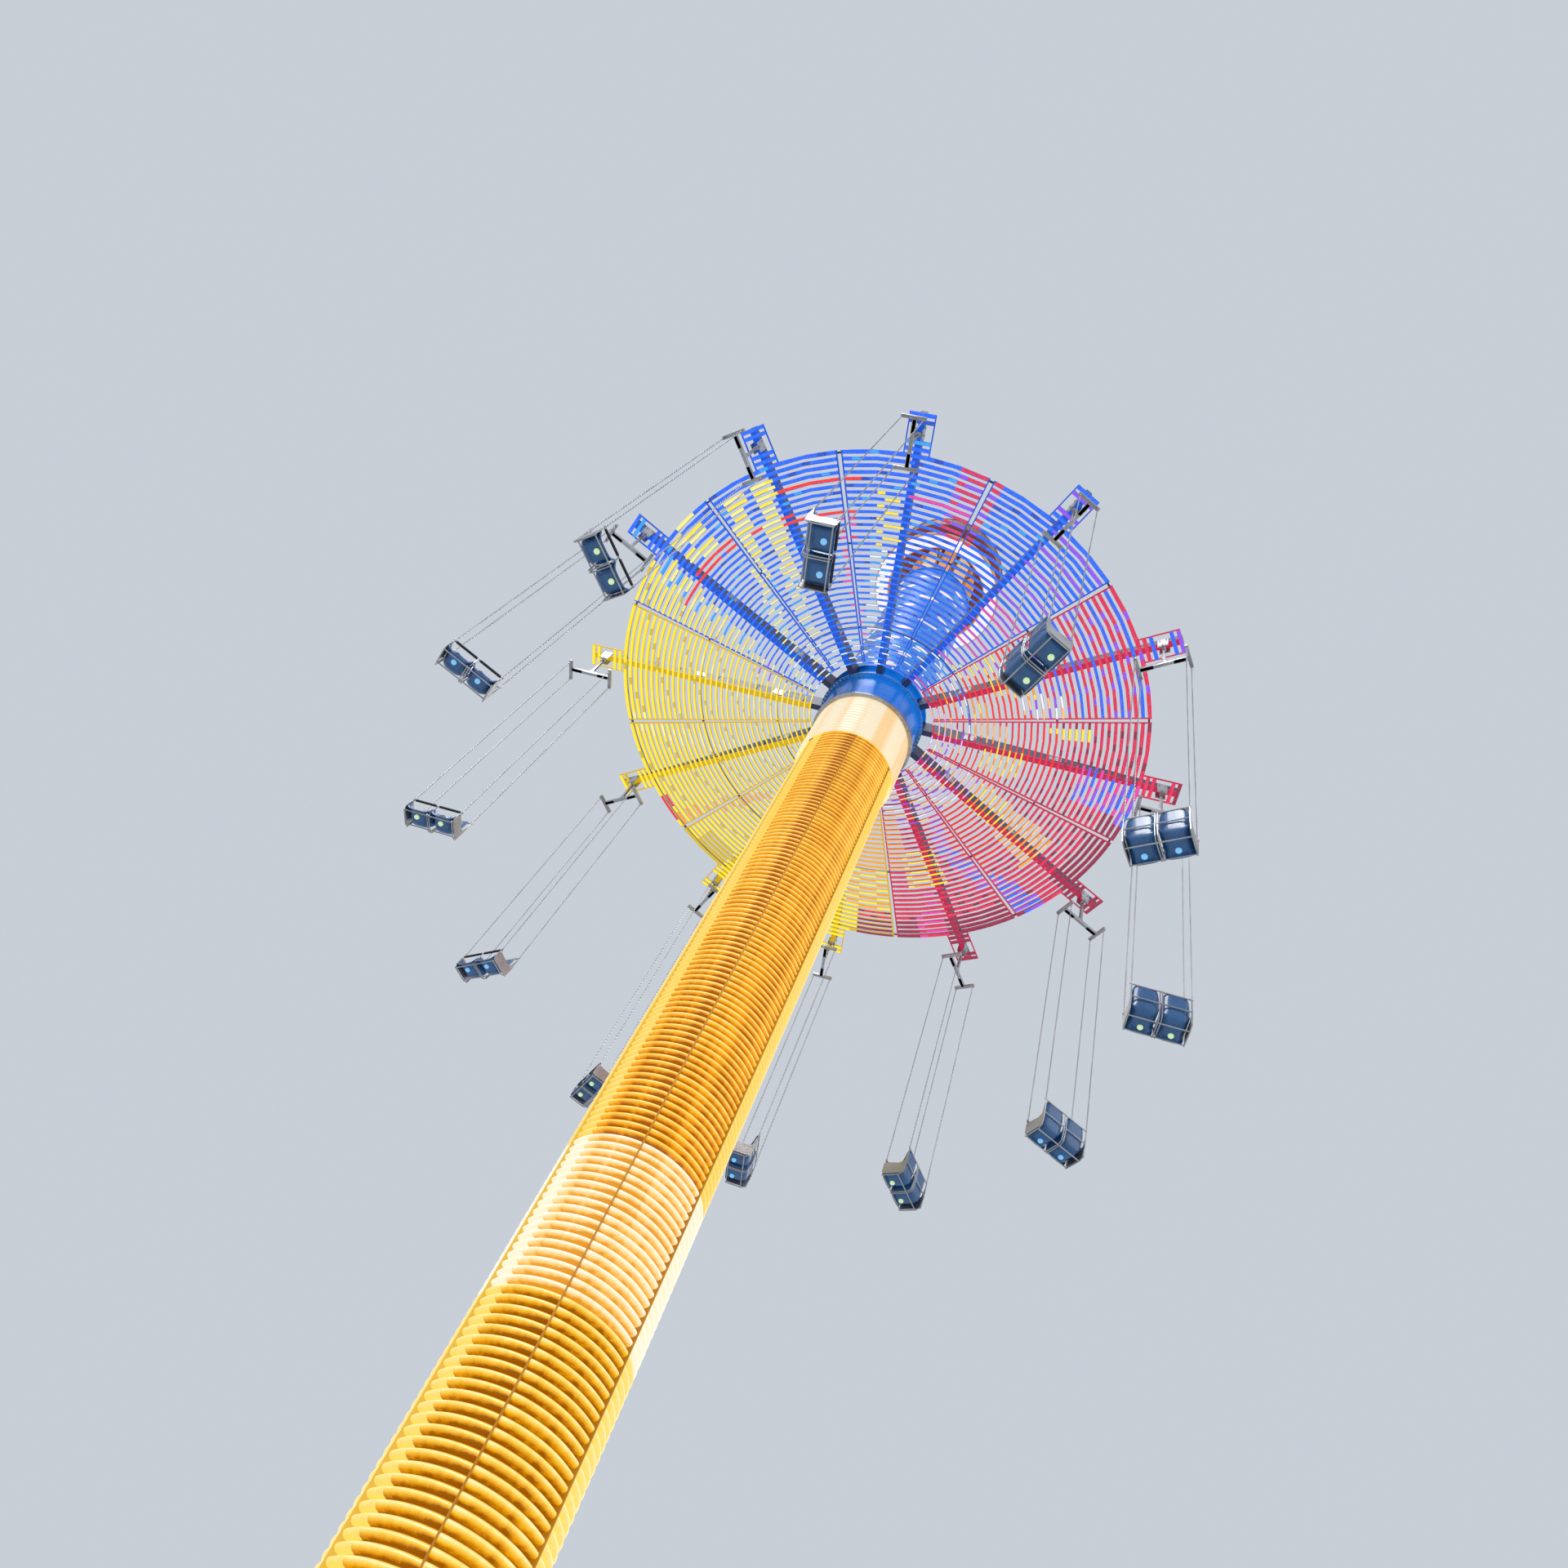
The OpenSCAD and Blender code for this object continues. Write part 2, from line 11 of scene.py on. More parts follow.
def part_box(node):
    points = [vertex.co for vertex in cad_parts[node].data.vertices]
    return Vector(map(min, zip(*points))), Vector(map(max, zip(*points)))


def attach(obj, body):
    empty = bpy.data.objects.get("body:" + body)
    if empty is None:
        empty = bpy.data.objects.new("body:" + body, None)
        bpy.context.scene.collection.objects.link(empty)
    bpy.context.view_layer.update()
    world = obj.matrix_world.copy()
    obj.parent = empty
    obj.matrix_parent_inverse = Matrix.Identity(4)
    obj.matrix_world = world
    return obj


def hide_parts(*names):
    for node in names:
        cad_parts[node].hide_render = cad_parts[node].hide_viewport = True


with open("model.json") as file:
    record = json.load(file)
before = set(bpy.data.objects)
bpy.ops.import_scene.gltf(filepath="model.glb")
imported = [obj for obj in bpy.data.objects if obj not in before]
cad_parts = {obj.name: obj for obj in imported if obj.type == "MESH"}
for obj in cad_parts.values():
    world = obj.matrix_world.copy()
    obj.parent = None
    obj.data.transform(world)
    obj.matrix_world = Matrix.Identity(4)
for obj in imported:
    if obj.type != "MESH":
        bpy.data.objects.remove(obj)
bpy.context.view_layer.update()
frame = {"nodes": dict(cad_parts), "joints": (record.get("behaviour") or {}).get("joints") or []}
cad = frame["nodes"]

# Sizes that the part's source also holds, in metres and degrees
LAMP_PITCH = 0.125
LAMP_SEGMENTS = 6
TROUGH_R = 0.8803
LENS_ROOT_R = 0.94
LENS_TIP_R = 1.03
HALF_SEAM = 0.013
LENS_GAP = math.degrees(math.asin(HALF_SEAM / TROUGH_R))
ARMS = 12
ARM_STEP = 360 / ARMS
BAR_R0 = 1.4803
BAR_PITCH = 0.14
BAR_W = 0.035
RIM_BAR_W = 0.080
BARS = 35
TIP_HALF = 0.28
FAN_HALF_DEG = 14.6
ARM_HALF = 0.07
ARM_Z = 24.5
ARM_ROOT_X, ARM_ROOT_TOP = 1.2603, 24.9
ARM_TIP_X, ARM_TIP_TOP = 7.1603, 24.64
HALO_MIDDLE_R = 1.64
STAVES = 12
ANCHORS = 12

# Values that only this script holds: where a row of ring lamps starts, in pitches, and the halo's joints
RING_PHASE = 0.4
HALO_PANELS = 18

# Places that the frame gives
FIRST_PIN = next(j for j in frame["joints"] if j["name"] == "chair_01_swing")["pos_m"]
PIN_X = math.hypot(FIRST_PIN[0], FIRST_PIN[1])
PIN_Z = FIRST_PIN[2]
STAR_TURN = math.degrees(math.atan2(FIRST_PIN[1], FIRST_PIN[0]))
BAR_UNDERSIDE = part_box("light_bars_yellow")[0].z
HALO_LOW, HALO_HIGH = (corner.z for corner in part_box("halo_lamp"))
CHAIR_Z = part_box("twin_chair_01")[0].z

# Sizes in the first chair's own frame: x outwards from its pin, y forwards, z up from its underside
EYE_Z = PIN_Z - CHAIR_Z
SPREADER_Z = EYE_Z - 0.79
LAP_Z = 0.37
SEAT_X = 0.2525
CHAIN_X = 0.505
BACK_Y, FRONT_Y = -0.25, 0.19
# Where each chain hangs, and the height of its lower shackle
CHAINS = [(side * CHAIN_X, y, foot) for side in (-1, 1) for y, foot in ((BACK_Y, 0.70), (FRONT_Y, 0.40))]


# Node building

class Field:
    """A node's output on which Python arithmetic adds Math nodes."""

    def __init__(self, bench, socket):
        self.bench = bench
        self.socket = socket

    def out(self, name):
        return Field(self.bench, self.socket.node.outputs[name])

    def math(self, operation, *values):
        return self.bench.add("ShaderNodeMath", dict(enumerate((self, *values))), {"operation": operation})

    def __add__(self, other):
        return self.math("ADD", other)

    def __sub__(self, other):
        return self.math("SUBTRACT", other)

    def __mul__(self, other):
        return self.math("MULTIPLY", other)

    def __truediv__(self, other):
        return self.math("DIVIDE", other)

    def __rsub__(self, other):
        return (self * -1) + other

    __radd__ = __add__
    __rmul__ = __mul__

    def above(self, edge):
        return self.math("GREATER_THAN", edge)

    def clamped(self):
        return self.bench.add("ShaderNodeClamp", {"Value": self})

    def rise(self, low, high):
        """0 below low, 1 above high, straight between."""
        return ((self - low) / (high - low)).clamped()

    def off_middle(self):
        """Distance from the middle of the whole step that a value lies in, up to 0.5 at the step's ends."""
        return (self.math("FRACT") - 0.5).math("ABSOLUTE")


class Bench:
    """A node tree and the one method that adds a node to it."""

    def __init__(self, tree):
        self.tree = tree

    def add(self, kind, inputs=None, settings=None, output=0):
        """Adds a node. An input is a Field to link or a constant; a colour may leave out its alpha."""
        node = self.tree.nodes.new(kind)
        for name, value in (settings or {}).items():
            setattr(node, name, value)
        for key, value in (inputs or {}).items():
            socket = node.inputs[key]
            if isinstance(value, Field):
                self.tree.links.new(value.socket, socket)
            else:
                socket.default_value = (*value, 1) if socket.type == "RGBA" else value
        return Field(self, node.outputs[output]) if node.outputs else node

    def mix(self, factor, first, second):
        """A colour between first and second."""
        return self.add("ShaderNodeMix", {0: factor, 6: first, 7: second}, {"data_type": "RGBA"}, 2)

    def ramp(self, factor, *stops):
        """A colour ramp through stops of position and colour."""
        result = self.add("ShaderNodeValToRGB", {0: factor})
        elements = result.socket.node.color_ramp.elements
        while len(elements) < len(stops):
            elements.new(0.5)
        for element, (position, colour) in zip(elements, stops):
            element.position = position
            element.color = (*colour, 1)
        return result

    def vector(self, x, y, z):
        return self.add("ShaderNodeCombineXYZ", {0: x, 1: y, 2: z})


class Finish(Bench):
    """One material. Its patterns read Object coordinates, in metres."""

    def __init__(self, name):
        self.material = bpy.data.materials.new(name)
        self.material.use_nodes = True
        super().__init__(self.material.node_tree)
        self.tree.nodes.clear()
        self.place = self.add("ShaderNodeTexCoord").out("Object")
        split = self.add("ShaderNodeSeparateXYZ", {0: self.place})
        self.x = split.out("X")
        self.y = split.out("Y")
        self.z = split.out("Z")

    def radius(self):
        return (self.x * self.x + self.y * self.y).math("SQRT")

    def turn(self):
        """Angle round the mast, from 0 to 1."""
        return (self.y.math("ARCTAN2", self.x) / math.tau) + 0.5

    def noise(self, scale, detail=3.0, stretch=(1, 1, 1), rough=0.55):
        spot = self.add("ShaderNodeMapping", {"Vector": self.place, "Scale": stretch})
        return self.add("ShaderNodeTexNoise",
                        {"Vector": spot, "Scale": scale, "Detail": detail, "Roughness": rough})

    def chance(self, first, second):
        """A random number from 0 to 1 for each pair of values."""
        return self.add("ShaderNodeTexWhiteNoise", {"Vector": self.vector(first, second, 0.0)})

    def surface(self, base, rough, relief=None, depth=0.002, glow=None, power=0.0, **sockets):
        """Ends the material in one Principled shader. relief is a height that goes through a Bump node."""
        inputs = {"Base Color": base, "Roughness": rough}
        if relief is not None:
            inputs["Normal"] = self.add("ShaderNodeBump", {"Height": relief, "Distance": depth})
        if glow is not None:
            inputs["Emission Color"] = glow
            inputs["Emission Strength"] = power
        for name, value in sockets.items():
            inputs[name.replace("_", " ")] = value
        shader = self.add("ShaderNodeBsdfPrincipled", inputs)
        self.add("ShaderNodeOutputMaterial", {"Surface": shader})
        return self.material


def shade(colour, factor):
    """A colour made darker or lighter."""
    return tuple(min(1.0, part * factor) for part in colour)


# Finishes

def painted_steel(name, colour, rough):
    """Sprayed steel: orange peel, faint rain streaks, small chips down to the primer."""
    f = Finish(name)
    cloud = f.noise(0.9, 4, rough=0.6)
    streak = f.noise(5.0, 3, stretch=(1, 1, 0.08))
    chip = f.noise(26.0, 5, rough=0.7).rise(0.72, 0.75) * f.noise(1.7, 2).rise(0.5, 0.62) * 0.5
    tone = f.mix(cloud.rise(0.3, 0.7), shade(colour, 0.82), shade(colour, 1.12))
    tone = f.mix(streak.rise(0.52, 0.75) * 0.35, tone, shade(colour, 0.55))
    tone = f.mix(chip, tone, (0.21, 0.19, 0.17))
    dullness = streak * 0.18 + chip * 0.3 + (rough - 0.08)
    return f.surface(tone, dullness, relief=f.noise(180.0, 2) * 0.3 + chip * -1.0, depth=0.0006,
                     Coat_Weight=0.2, Coat_Roughness=0.25)


def bare_steel(name, colour=(0.44, 0.45, 0.47), brushed=(1, 1, 12)):
    """Galvanised or ground steel with fine drawn lines and dull patches."""
    f = Finish(name)
    grain = f.noise(60.0, 3, stretch=brushed)
    spangle = f.add("ShaderNodeTexVoronoi", {"Vector": f.place, "Scale": 38.0})
    patch = f.noise(2.2, 4)
    tone = f.mix(patch.rise(0.35, 0.7), shade(colour, 0.7), shade(colour, 1.15))
    tone = f.mix(spangle.rise(0.2, 0.9) * 0.25, tone, shade(colour, 1.35))
    return f.surface(tone, grain * 0.2 + patch * 0.2 + 0.2, relief=grain, depth=0.0004, Metallic=0.85)


def third_of_turn(f):
    """Place round the mast, from 0 to 3 over three lamp segments. The segment with the painted highlight runs
    from 0 to 1.
    """
    return (f.turn() * LAMP_SEGMENTS + 0.5).math("MODULO", 3.0)


def highlight_sides(f):
    """1 on the two opposite sides of the mast that carry a painted highlight, 0 elsewhere: there the lamps,
    trough and blades glow evenly bright.
    """
    return 1 - third_of_turn(f).above(1.27)


def ring_heat(f):
    """How hot each spot of the ring lamps glows, from 0 in the grooves to 1 on the crests."""
    rise = f.z / LAMP_PITCH - RING_PHASE
    crest = 1 - (rise - 0.1).off_middle() * 2
    place = third_of_turn(f)
    own = f.chance(rise.math("FLOOR"), place.math("FLOOR"))
    streak = f.noise(1.0, 3, stretch=(4.5, 4.5, 0.13), rough=0.6).rise(0.35, 0.68)
    sparkle = f.noise(7.0, 3, stretch=(1, 1, 5), rough=0.65)
    heat = crest * 0.86 + own * 0.09 + streak * 0.24 + sparkle * 0.2 - 0.26
    # Painted shade: the grooves darken over a stretch just before the joint at 2 of each three segments
    shade_by_joint = place.rise(1.70, 1.88) * (1 - place.above(2.0))
    heat = heat - shade_by_joint * sparkle * 0.55 * (1 - crest)
    # Painted highlight: on the two highlight sides the lenses glow evenly bright instead of ringed
    even = streak * 0.1 + crest * 0.16 + 0.56
    side = highlight_sides(f)
    return (heat * (1 - side) + even * side).clamped()


def ring_lens(name, groove, low, body, high, crest):
    """Lit lens of a ring lamp: pale gold on its crest, amber down to brown in the groove."""
    f = Finish(name)
    heat = ring_heat(f)
    glow = f.ramp(heat, (0.0, groove), (0.16, low), (0.38, body), (0.62, high), (0.9, crest))
    base = f.mix(heat, shade(groove, 0.3), shade(body, 0.26))
    return f.surface(base, 0.34, relief=f.noise(90.0, 2), depth=0.0003, glow=glow, power=0.86)


def trough_paint(name, groove, low):
    """Painted trough behind the lenses, lit from the lamps beside it."""
    f = Finish(name)
    dust = f.noise(14.0, 4, rough=0.65)
    tone = f.mix(dust.rise(0.35, 0.7), shade(groove, 0.5), shade(groove, 0.9))
    # Painted light: the trough glows dimly from the lamps, and fully on the two painted highlight sides
    glow = f.mix(highlight_sides(f), shade(groove, 0.9), low)
    return f.surface(tone, dust * 0.2 + 0.42, relief=dust, depth=0.001, glow=glow, power=0.7)


def lit_blade():
    """Guide blades: bronze with wear, and a painted glow from the lamps beside it that is patchy with the
    wear.
    """
    f = Finish("guide_blade_bronze")
    wear_and_glow = f.noise(3.0, 4, stretch=(1, 1, 0.2), rough=0.65)
    # Painted light: the lamps' glow on the blades, patchy with the same noise as the wear
    glow = f.mix(wear_and_glow, (0.30, 0.10, 0.0), (0.62, 0.27, 0.01))
    # Painted highlight: the blades glow bright amber on the two highlight sides
    glow = f.mix(highlight_sides(f), glow, (1.0, 0.66, 0.08))
    base = f.mix(wear_and_glow, (0.16, 0.07, 0.01), (0.30, 0.15, 0.03))
    return f.surface(base, wear_and_glow * 0.2 + 0.3, relief=wear_and_glow, depth=0.0006, glow=glow, power=0.62, Metallic=0.4)


def collar_panel():
    """Lit cream panels of the carriage's collar, with amber upright joints and fine rings."""
    f = Finish("collar_panel_cream")
    panels, ring_pitch = 12, 0.042
    upright = f.noise(1.0, 2, stretch=(2.6, 2.6, 0.0), rough=0.5)
    fine = (f.z * (math.tau / ring_pitch)).math("SINE") * 0.5 + 0.5
    joint = (f.turn() * panels).off_middle().rise(0.485, 0.5)
    warm = (upright.rise(0.48, 0.64) * 0.75 + fine * 0.16 + joint * 0.6).clamped()
    glow = f.mix(warm, (1.0, 0.86, 0.58), (1.0, 0.64, 0.24))
    base = f.mix(warm, (0.44, 0.39, 0.29), (0.42, 0.28, 0.11))
    return f.surface(base, 0.32, relief=fine * 0.4 - joint, depth=0.003, glow=glow, power=0.72,
                     Coat_Weight=0.15, Coat_Roughness=0.2)


def sleeve_panel():
    """Blue sleeve panels with a painted floodlight glow: dark upright zones, fine horizontal painted sheen
    lines and dark joints.
    """
    f = Finish("sleeve_blue_panel")
    panels, panel_height = 6, 1.45
    zone = f.noise(1.0, 2, stretch=(1.7, 1.7, 0.1), rough=0.4)
    sheen = f.noise(2.2, 3, stretch=(1, 1, 26), rough=0.65)
    joint = (f.turn() * panels).off_middle().rise(0.494, 0.4965)
    seam = (f.z / panel_height).off_middle().rise(0.4955, 0.4975)
    line = joint.math("MAXIMUM", seam)
    deep = zone.rise(0.5, 0.62)
    # Painted light: the sleeve is no lamp; its glow stands in for floodlight
    glow = f.mix(deep, (0.0, 0.19, 0.80), (0.0, 0.07, 0.30))
    # Painted highlight: the sheen lines brighten the glow
    glow = f.mix(sheen.rise(0.5, 0.7) * 0.6, glow, (0.04, 0.40, 0.95))
    base = f.mix(deep, (0.002, 0.09, 0.36), (0.002, 0.03, 0.13))
    base = f.mix(line * 0.8, base, (0.0, 0.015, 0.06))
    glow = f.mix(line * 0.8, glow, (0.0, 0.02, 0.08))
    return f.surface(base, sheen * 0.15 + 0.25, relief=sheen * 0.3 - line, depth=0.004, glow=glow, power=0.5,
                     Coat_Weight=0.25, Coat_Roughness=0.1)


def stroke_lamp():
    """Pinkish white dashes of light on the sleeve."""
    f = Finish("sleeve_dash_lamp")
    fade = f.noise(9.0, 3, stretch=(1, 1, 3))
    glow = f.mix(fade.rise(0.35, 0.7), (1.0, 0.72, 0.66), (1.0, 0.93, 0.90))
    base = f.mix(fade, (0.62, 0.50, 0.48), (0.68, 0.64, 0.62))
    return f.surface(base, 0.3, relief=fade, depth=0.001, glow=glow, power=0.45)


def lit_stave(name, glow_low, glow_high, base):
    """A lit upright panel of the mast head, with brush marks and darker edges at its joints."""
    f = Finish(name)
    brush = f.noise(5.0, 3, stretch=(3.0, 3.0, 0.12), rough=0.6)
    edge = ((f.turn() * STAVES + 0.5).off_middle() * 2).rise(0.62, 0.76)
    glow = f.mix(brush.rise(0.36, 0.68), glow_low, glow_high)
    glow = f.mix(edge * 0.7, glow, shade(glow_low, 0.45))
    tone = f.mix(brush, shade(base, 0.8), base)
    return f.surface(tone, 0.3, relief=brush, depth=0.001, glow=glow, power=0.5,
                     Coat_Weight=0.3, Coat_Roughness=0.1)


def halo_diffuser():
    """White diffuser of the halo lamp with joints and slightly grey patches."""
    f = Finish("halo_diffuser_white")
    grey = f.noise(2.4, 4, rough=0.65)
    joint = (f.turn() * HALO_PANELS).off_middle().rise(0.488, 0.494)
    across = (f.radius() - HALO_MIDDLE_R).math("ABSOLUTE").rise(0.13, 0.22)
    dull = (grey.rise(0.56, 0.74) * 0.45 + joint * 0.5 + across * 0.45).clamped()
    housing = f.z.above(HALO_LOW + 0.002) * (1 - f.z.above(HALO_HIGH - 0.002))
    glow = f.mix(dull, (1.0, 0.98, 0.94), (0.66, 0.60, 0.54))
    glow = f.mix(housing, glow, (0.55, 0.26, 0.08))
    base = f.mix(dull, (0.50, 0.50, 0.49), (0.38, 0.37, 0.35))
    base = f.mix(housing, base, (0.20, 0.10, 0.05))
    return f.surface(base, 0.28, relief=1 - joint, glow=glow, power=0.7)


def crown_skin(name, colour, seams):
    """Sheet metal of the crown with standing seams and dull patches. Its bronze shine is painted: a painted
    highlight on the seams and a faint painted glow over the whole skin.
    """
    f = Finish(name)
    seam = (f.turn() * seams).off_middle().rise(0.44, 0.49)
    cloud = f.noise(2.2, 5, rough=0.65)
    fleck = f.noise(45.0, 3)
    tone = f.mix(cloud.rise(0.3, 0.72), shade(colour, 0.8), shade(colour, 1.2))
    tone = f.mix(fleck.rise(0.6, 0.75) * 0.3, tone, shade(colour, 0.6))
    # Painted highlight on the standing seams; with no seams it lies over the whole skin
    tone = f.mix(seam * 0.6, tone, shade(colour, 1.7))
    # Painted light: the crown is no lamp, yet it glows faintly, brighter on the seams
    glow = f.mix(seam, shade(colour, 0.7), shade(colour, 1.5))
    return f.surface(tone, cloud * 0.2 + 0.24, relief=seam + fleck * 0.03, depth=0.012, glow=glow, power=0.12,
                     Metallic=0.7)


def bar_housing(name, paint, glow):
    """Painted housings of the light bars. The lamp below lights their lower edge."""
    f = Finish(name)
    spill = 1 - f.z.rise(BAR_UNDERSIDE + 0.012, BAR_UNDERSIDE + 0.06)
    grime = f.noise(7.0, 4, rough=0.65)
    tone = f.mix(grime.rise(0.35, 0.7), shade(paint, 0.7), shade(paint, 1.25))
    rust = f.noise(21.0, 5, rough=0.7).rise(0.69, 0.74)
    tone = f.mix(rust * 0.35, tone, (0.12, 0.08, 0.06))
    light = f.mix(spill, shade(glow, 0.2), glow)
    return f.surface(tone, grime * 0.25 + 0.35, relief=grime, depth=0.0008, glow=light, power=0.55)


def bar_lamp():
    """Lens of the light bars. Each length's own colour is stored on its faces."""
    f = Finish("light_bar_lens")
    colour = f.add("ShaderNodeVertexColor", settings={"layer_name": "lamp_colour"})
    fleck = f.noise(34.0, 2)
    lit = f.mix(fleck.rise(0.45, 0.8) * 0.12, colour, (0.85, 0.85, 0.80))
    base = f.mix(0.75, colour, (0.03, 0.03, 0.03))
    return f.surface(base, 0.34, relief=fleck, depth=0.0004, glow=lit, power=0.92)


def moulded_shell():
    """Glass-fibre seat shell: gel coat with fine flecks, dull patches and scratches."""
    f = Finish("seat_shell_blue")
    colour = (0.018, 0.11, 0.30)
    fleck = f.noise(220.0, 2).rise(0.62, 0.7)
    wear = f.noise(3.5, 4, rough=0.6)
    scratch = f.noise(20.0, 4, stretch=(8, 1, 1), rough=0.75).rise(0.66, 0.7)
    tone = f.mix(wear.rise(0.3, 0.7), shade(colour, 0.8), shade(colour, 1.15))
    tone = f.mix(fleck * 0.3, tone, shade(colour, 1.7))
    tone = f.mix(scratch * 0.3, tone, (0.5, 0.52, 0.54))
    return f.surface(tone, wear * 0.3 + scratch * 0.2 + 0.16, relief=fleck * 0.4 - scratch, depth=0.0004,
                     Coat_Weight=0.5, Coat_Roughness=0.1)


def foam_sleeve():
    """Black foam on the lap bars and rubber on the guide shoes."""
    f = Finish("black_foam")
    pore = f.add("ShaderNodeTexVoronoi", {"Vector": f.place, "Scale": 260.0})
    dust = f.noise(9.0, 4)
    tone = f.mix(dust, (0.012, 0.012, 0.013), (0.05, 0.05, 0.052))
    return f.surface(tone, dust * 0.2 + 0.62, relief=pore, depth=0.0008)


def marker_lens(name, glow):
    """Small lit lens with a rippled face."""
    f = Finish(name)
    ripple = f.noise(60.0, 2)
    return f.surface(shade(glow, 0.45), 0.2, relief=ripple, depth=0.0006,
                     glow=f.mix(ripple, glow, shade(glow, 0.7)), power=0.7)


GOLD_LENS = ring_lens("ring_lens_gold", (0.28, 0.08, 0.0), (0.78, 0.30, 0.0), (1.0, 0.56, 0.02),
                      (1.0, 0.74, 0.14), (1.0, 0.92, 0.52))
CREAM_LENS = ring_lens("ring_lens_cream", (0.72, 0.30, 0.02), (1.0, 0.56, 0.12), (1.0, 0.80, 0.42),
                       (1.0, 0.91, 0.68), (1.0, 0.97, 0.88))
AMBER_LENS = ring_lens("ring_lens_amber", (0.34, 0.09, 0.0), (0.82, 0.26, 0.0), (1.0, 0.50, 0.012),
                       (1.0, 0.68, 0.09), (1.0, 0.87, 0.38))
GOLD_TROUGH = trough_paint("trough_gold", (0.34, 0.12, 0.004), (0.95, 0.60, 0.06))
CREAM_TROUGH = trough_paint("trough_cream", (0.70, 0.36, 0.06), (1.0, 0.88, 0.60))
AMBER_TROUGH = trough_paint("trough_amber", (0.34, 0.10, 0.002), (0.95, 0.56, 0.04))
FOOT_GREY = painted_steel("foot_grey_paint", (0.18, 0.19, 0.21), 0.5)
MAST_BRONZE = painted_steel("mast_bronze_paint", (0.34, 0.24, 0.12), 0.45)
BLADE_AMBER = lit_blade()
ARM_NAVY = painted_steel("arm_navy_paint", (0.030, 0.042, 0.12), 0.4)
SLEEVE_BLUE = sleeve_panel()
STEEL = bare_steel("galvanised_steel")
CHAIN_STEEL = bare_steel("chain_steel", (0.50, 0.51, 0.53), (1, 1, 1))
CROWN_RED = crown_skin("crown_underside", (0.16, 0.045, 0.035), 0)
CROWN_BRONZE = crown_skin("crown_bronze", (0.30, 0.155, 0.075), 36)
SHELL_BLUE = moulded_shell()
BLACK_FOAM = foam_sleeve()
BAR_LENS = bar_lamp()
GREEN_MARKER = marker_lens("marker_lens_green", (0.72, 0.95, 0.55))
BLUE_MARKER = marker_lens("marker_lens_blue", (0.25, 0.62, 1.0))


# Mesh building

def round_points(angle):
    """Cosine and sine of an angle in degrees."""
    a = math.radians(angle)
    return math.cos(a), math.sin(a)


def circle(radius, sides):
    """Corners of a circle, as flat pairs."""
    return [(radius * c, radius * s) for c, s in (round_points(360 * i / sides) for i in range(sides))]


def cover(bm, loops, closed=False):
    """Faces along a row of loops with as many corners each. A row that isn't closed gets end caps."""
    for a, b in zip(loops, loops[1:] + loops[:1] if closed else loops[1:]):
        for quad in zip(a, a[1:] + a[:1], b[1:] + b[:1], b):
            bm.faces.new(quad)
    if not closed:
        bm.faces.new(loops[0][::-1])
        bm.faces.new(loops[-1])


def add_lathe(bm, profile, start, sweep, steps):
    """Turns a closed outline of (radius, height) points part of the way round the mast."""
    turns = [round_points(start + sweep * step / steps) for step in range(steps + 1)]
    cover(bm, [[bm.verts.new((r * c, r * s, z)) for r, z in profile] for c, s in turns])


def add_rod(bm, start, end, radius, sides=8, end_radius=None):
    """A round bar between two points, closed at both ends."""
    start, end = Vector(start), Vector(end)
    along = (end - start).normalized()
    across = along.orthogonal().normalized()
    other = along.cross(across)
    loops = []
    for centre, r in ((start, radius), (end, radius if end_radius is None else end_radius)):
        loops.append([bm.verts.new(centre + u * across + v * other) for u, v in circle(r, sides)])
    cover(bm, loops)


def add_swept_tube(bm, points, radius, sides=6, closed=False):
    """A round tube along a polyline, its rings held upright between bends."""
    points = [Vector(p) for p in points]
    count = len(points)
    rings = []
    across = None
    for i, point in enumerate(points):
        before = points[i - 1] if (closed or i) else point
        after = points[(i + 1) % count] if (closed or i < count - 1) else point
        along = (after - before).normalized()
        across = along.orthogonal() if across is None else across - along * across.dot(along)
        across.normalize()
        other = along.cross(across)
        rings.append([bm.verts.new(point + u * across + v * other) for u, v in circle(radius, sides)])
    cover(bm, rings, closed)


def add_hoop(bm, radius, height, bends, thick):
    """A round bead that runs level all the way round the mast."""
    add_swept_tube(bm, [(x, y, height) for x, y in circle(radius, bends)], thick, closed=True)


def add_plate(bm, outline, face, far, place):
    """A flat plate: a 2D outline between two depths, each corner put by place(u, v, w)."""
    cover(bm, [[bm.verts.new(place(u, v, w)) for u, v in outline] for w in (face, far)])


def add_box(bm, corner, far):
    """A box between two opposite corners."""
    (x0, y0, z0), (x1, y1, z1) = corner, far
    add_plate(bm, [(x0, y0), (x1, y0), (x1, y1), (x0, y1)], z0, z1, lambda u, v, w: (u, v, w))


def put_in_scene(name, data):
    """Links a new object to the scene, at the origin."""
    obj = bpy.data.objects.new(name, data)
    bpy.context.scene.collection.objects.link(obj)
    return obj


def new_object(name, bm, finish, outward=True):
    """Turns a finished bmesh into an object at the origin."""
    if outward:
        bmesh.ops.recalc_face_normals(bm, faces=bm.faces)
    mesh = bpy.data.meshes.new(name)
    bm.to_mesh(mesh)
    bm.free()
    mesh.materials.append(finish)
    return put_in_scene(name, mesh)


def smooth(obj, angle):
    obj.data.shade_smooth()
    obj.data.set_sharp_from_angle(angle=math.radians(angle))


def bake_modifiers(obj):
    """Keeps an object's modified shape as its plain mesh."""
    bpy.context.view_layer.update()
    graph = bpy.context.evaluated_depsgraph_get()
    result = bpy.data.meshes.new_from_object(obj.evaluated_get(graph))
    obj.modifiers.clear()
    obj.data = result
    return obj


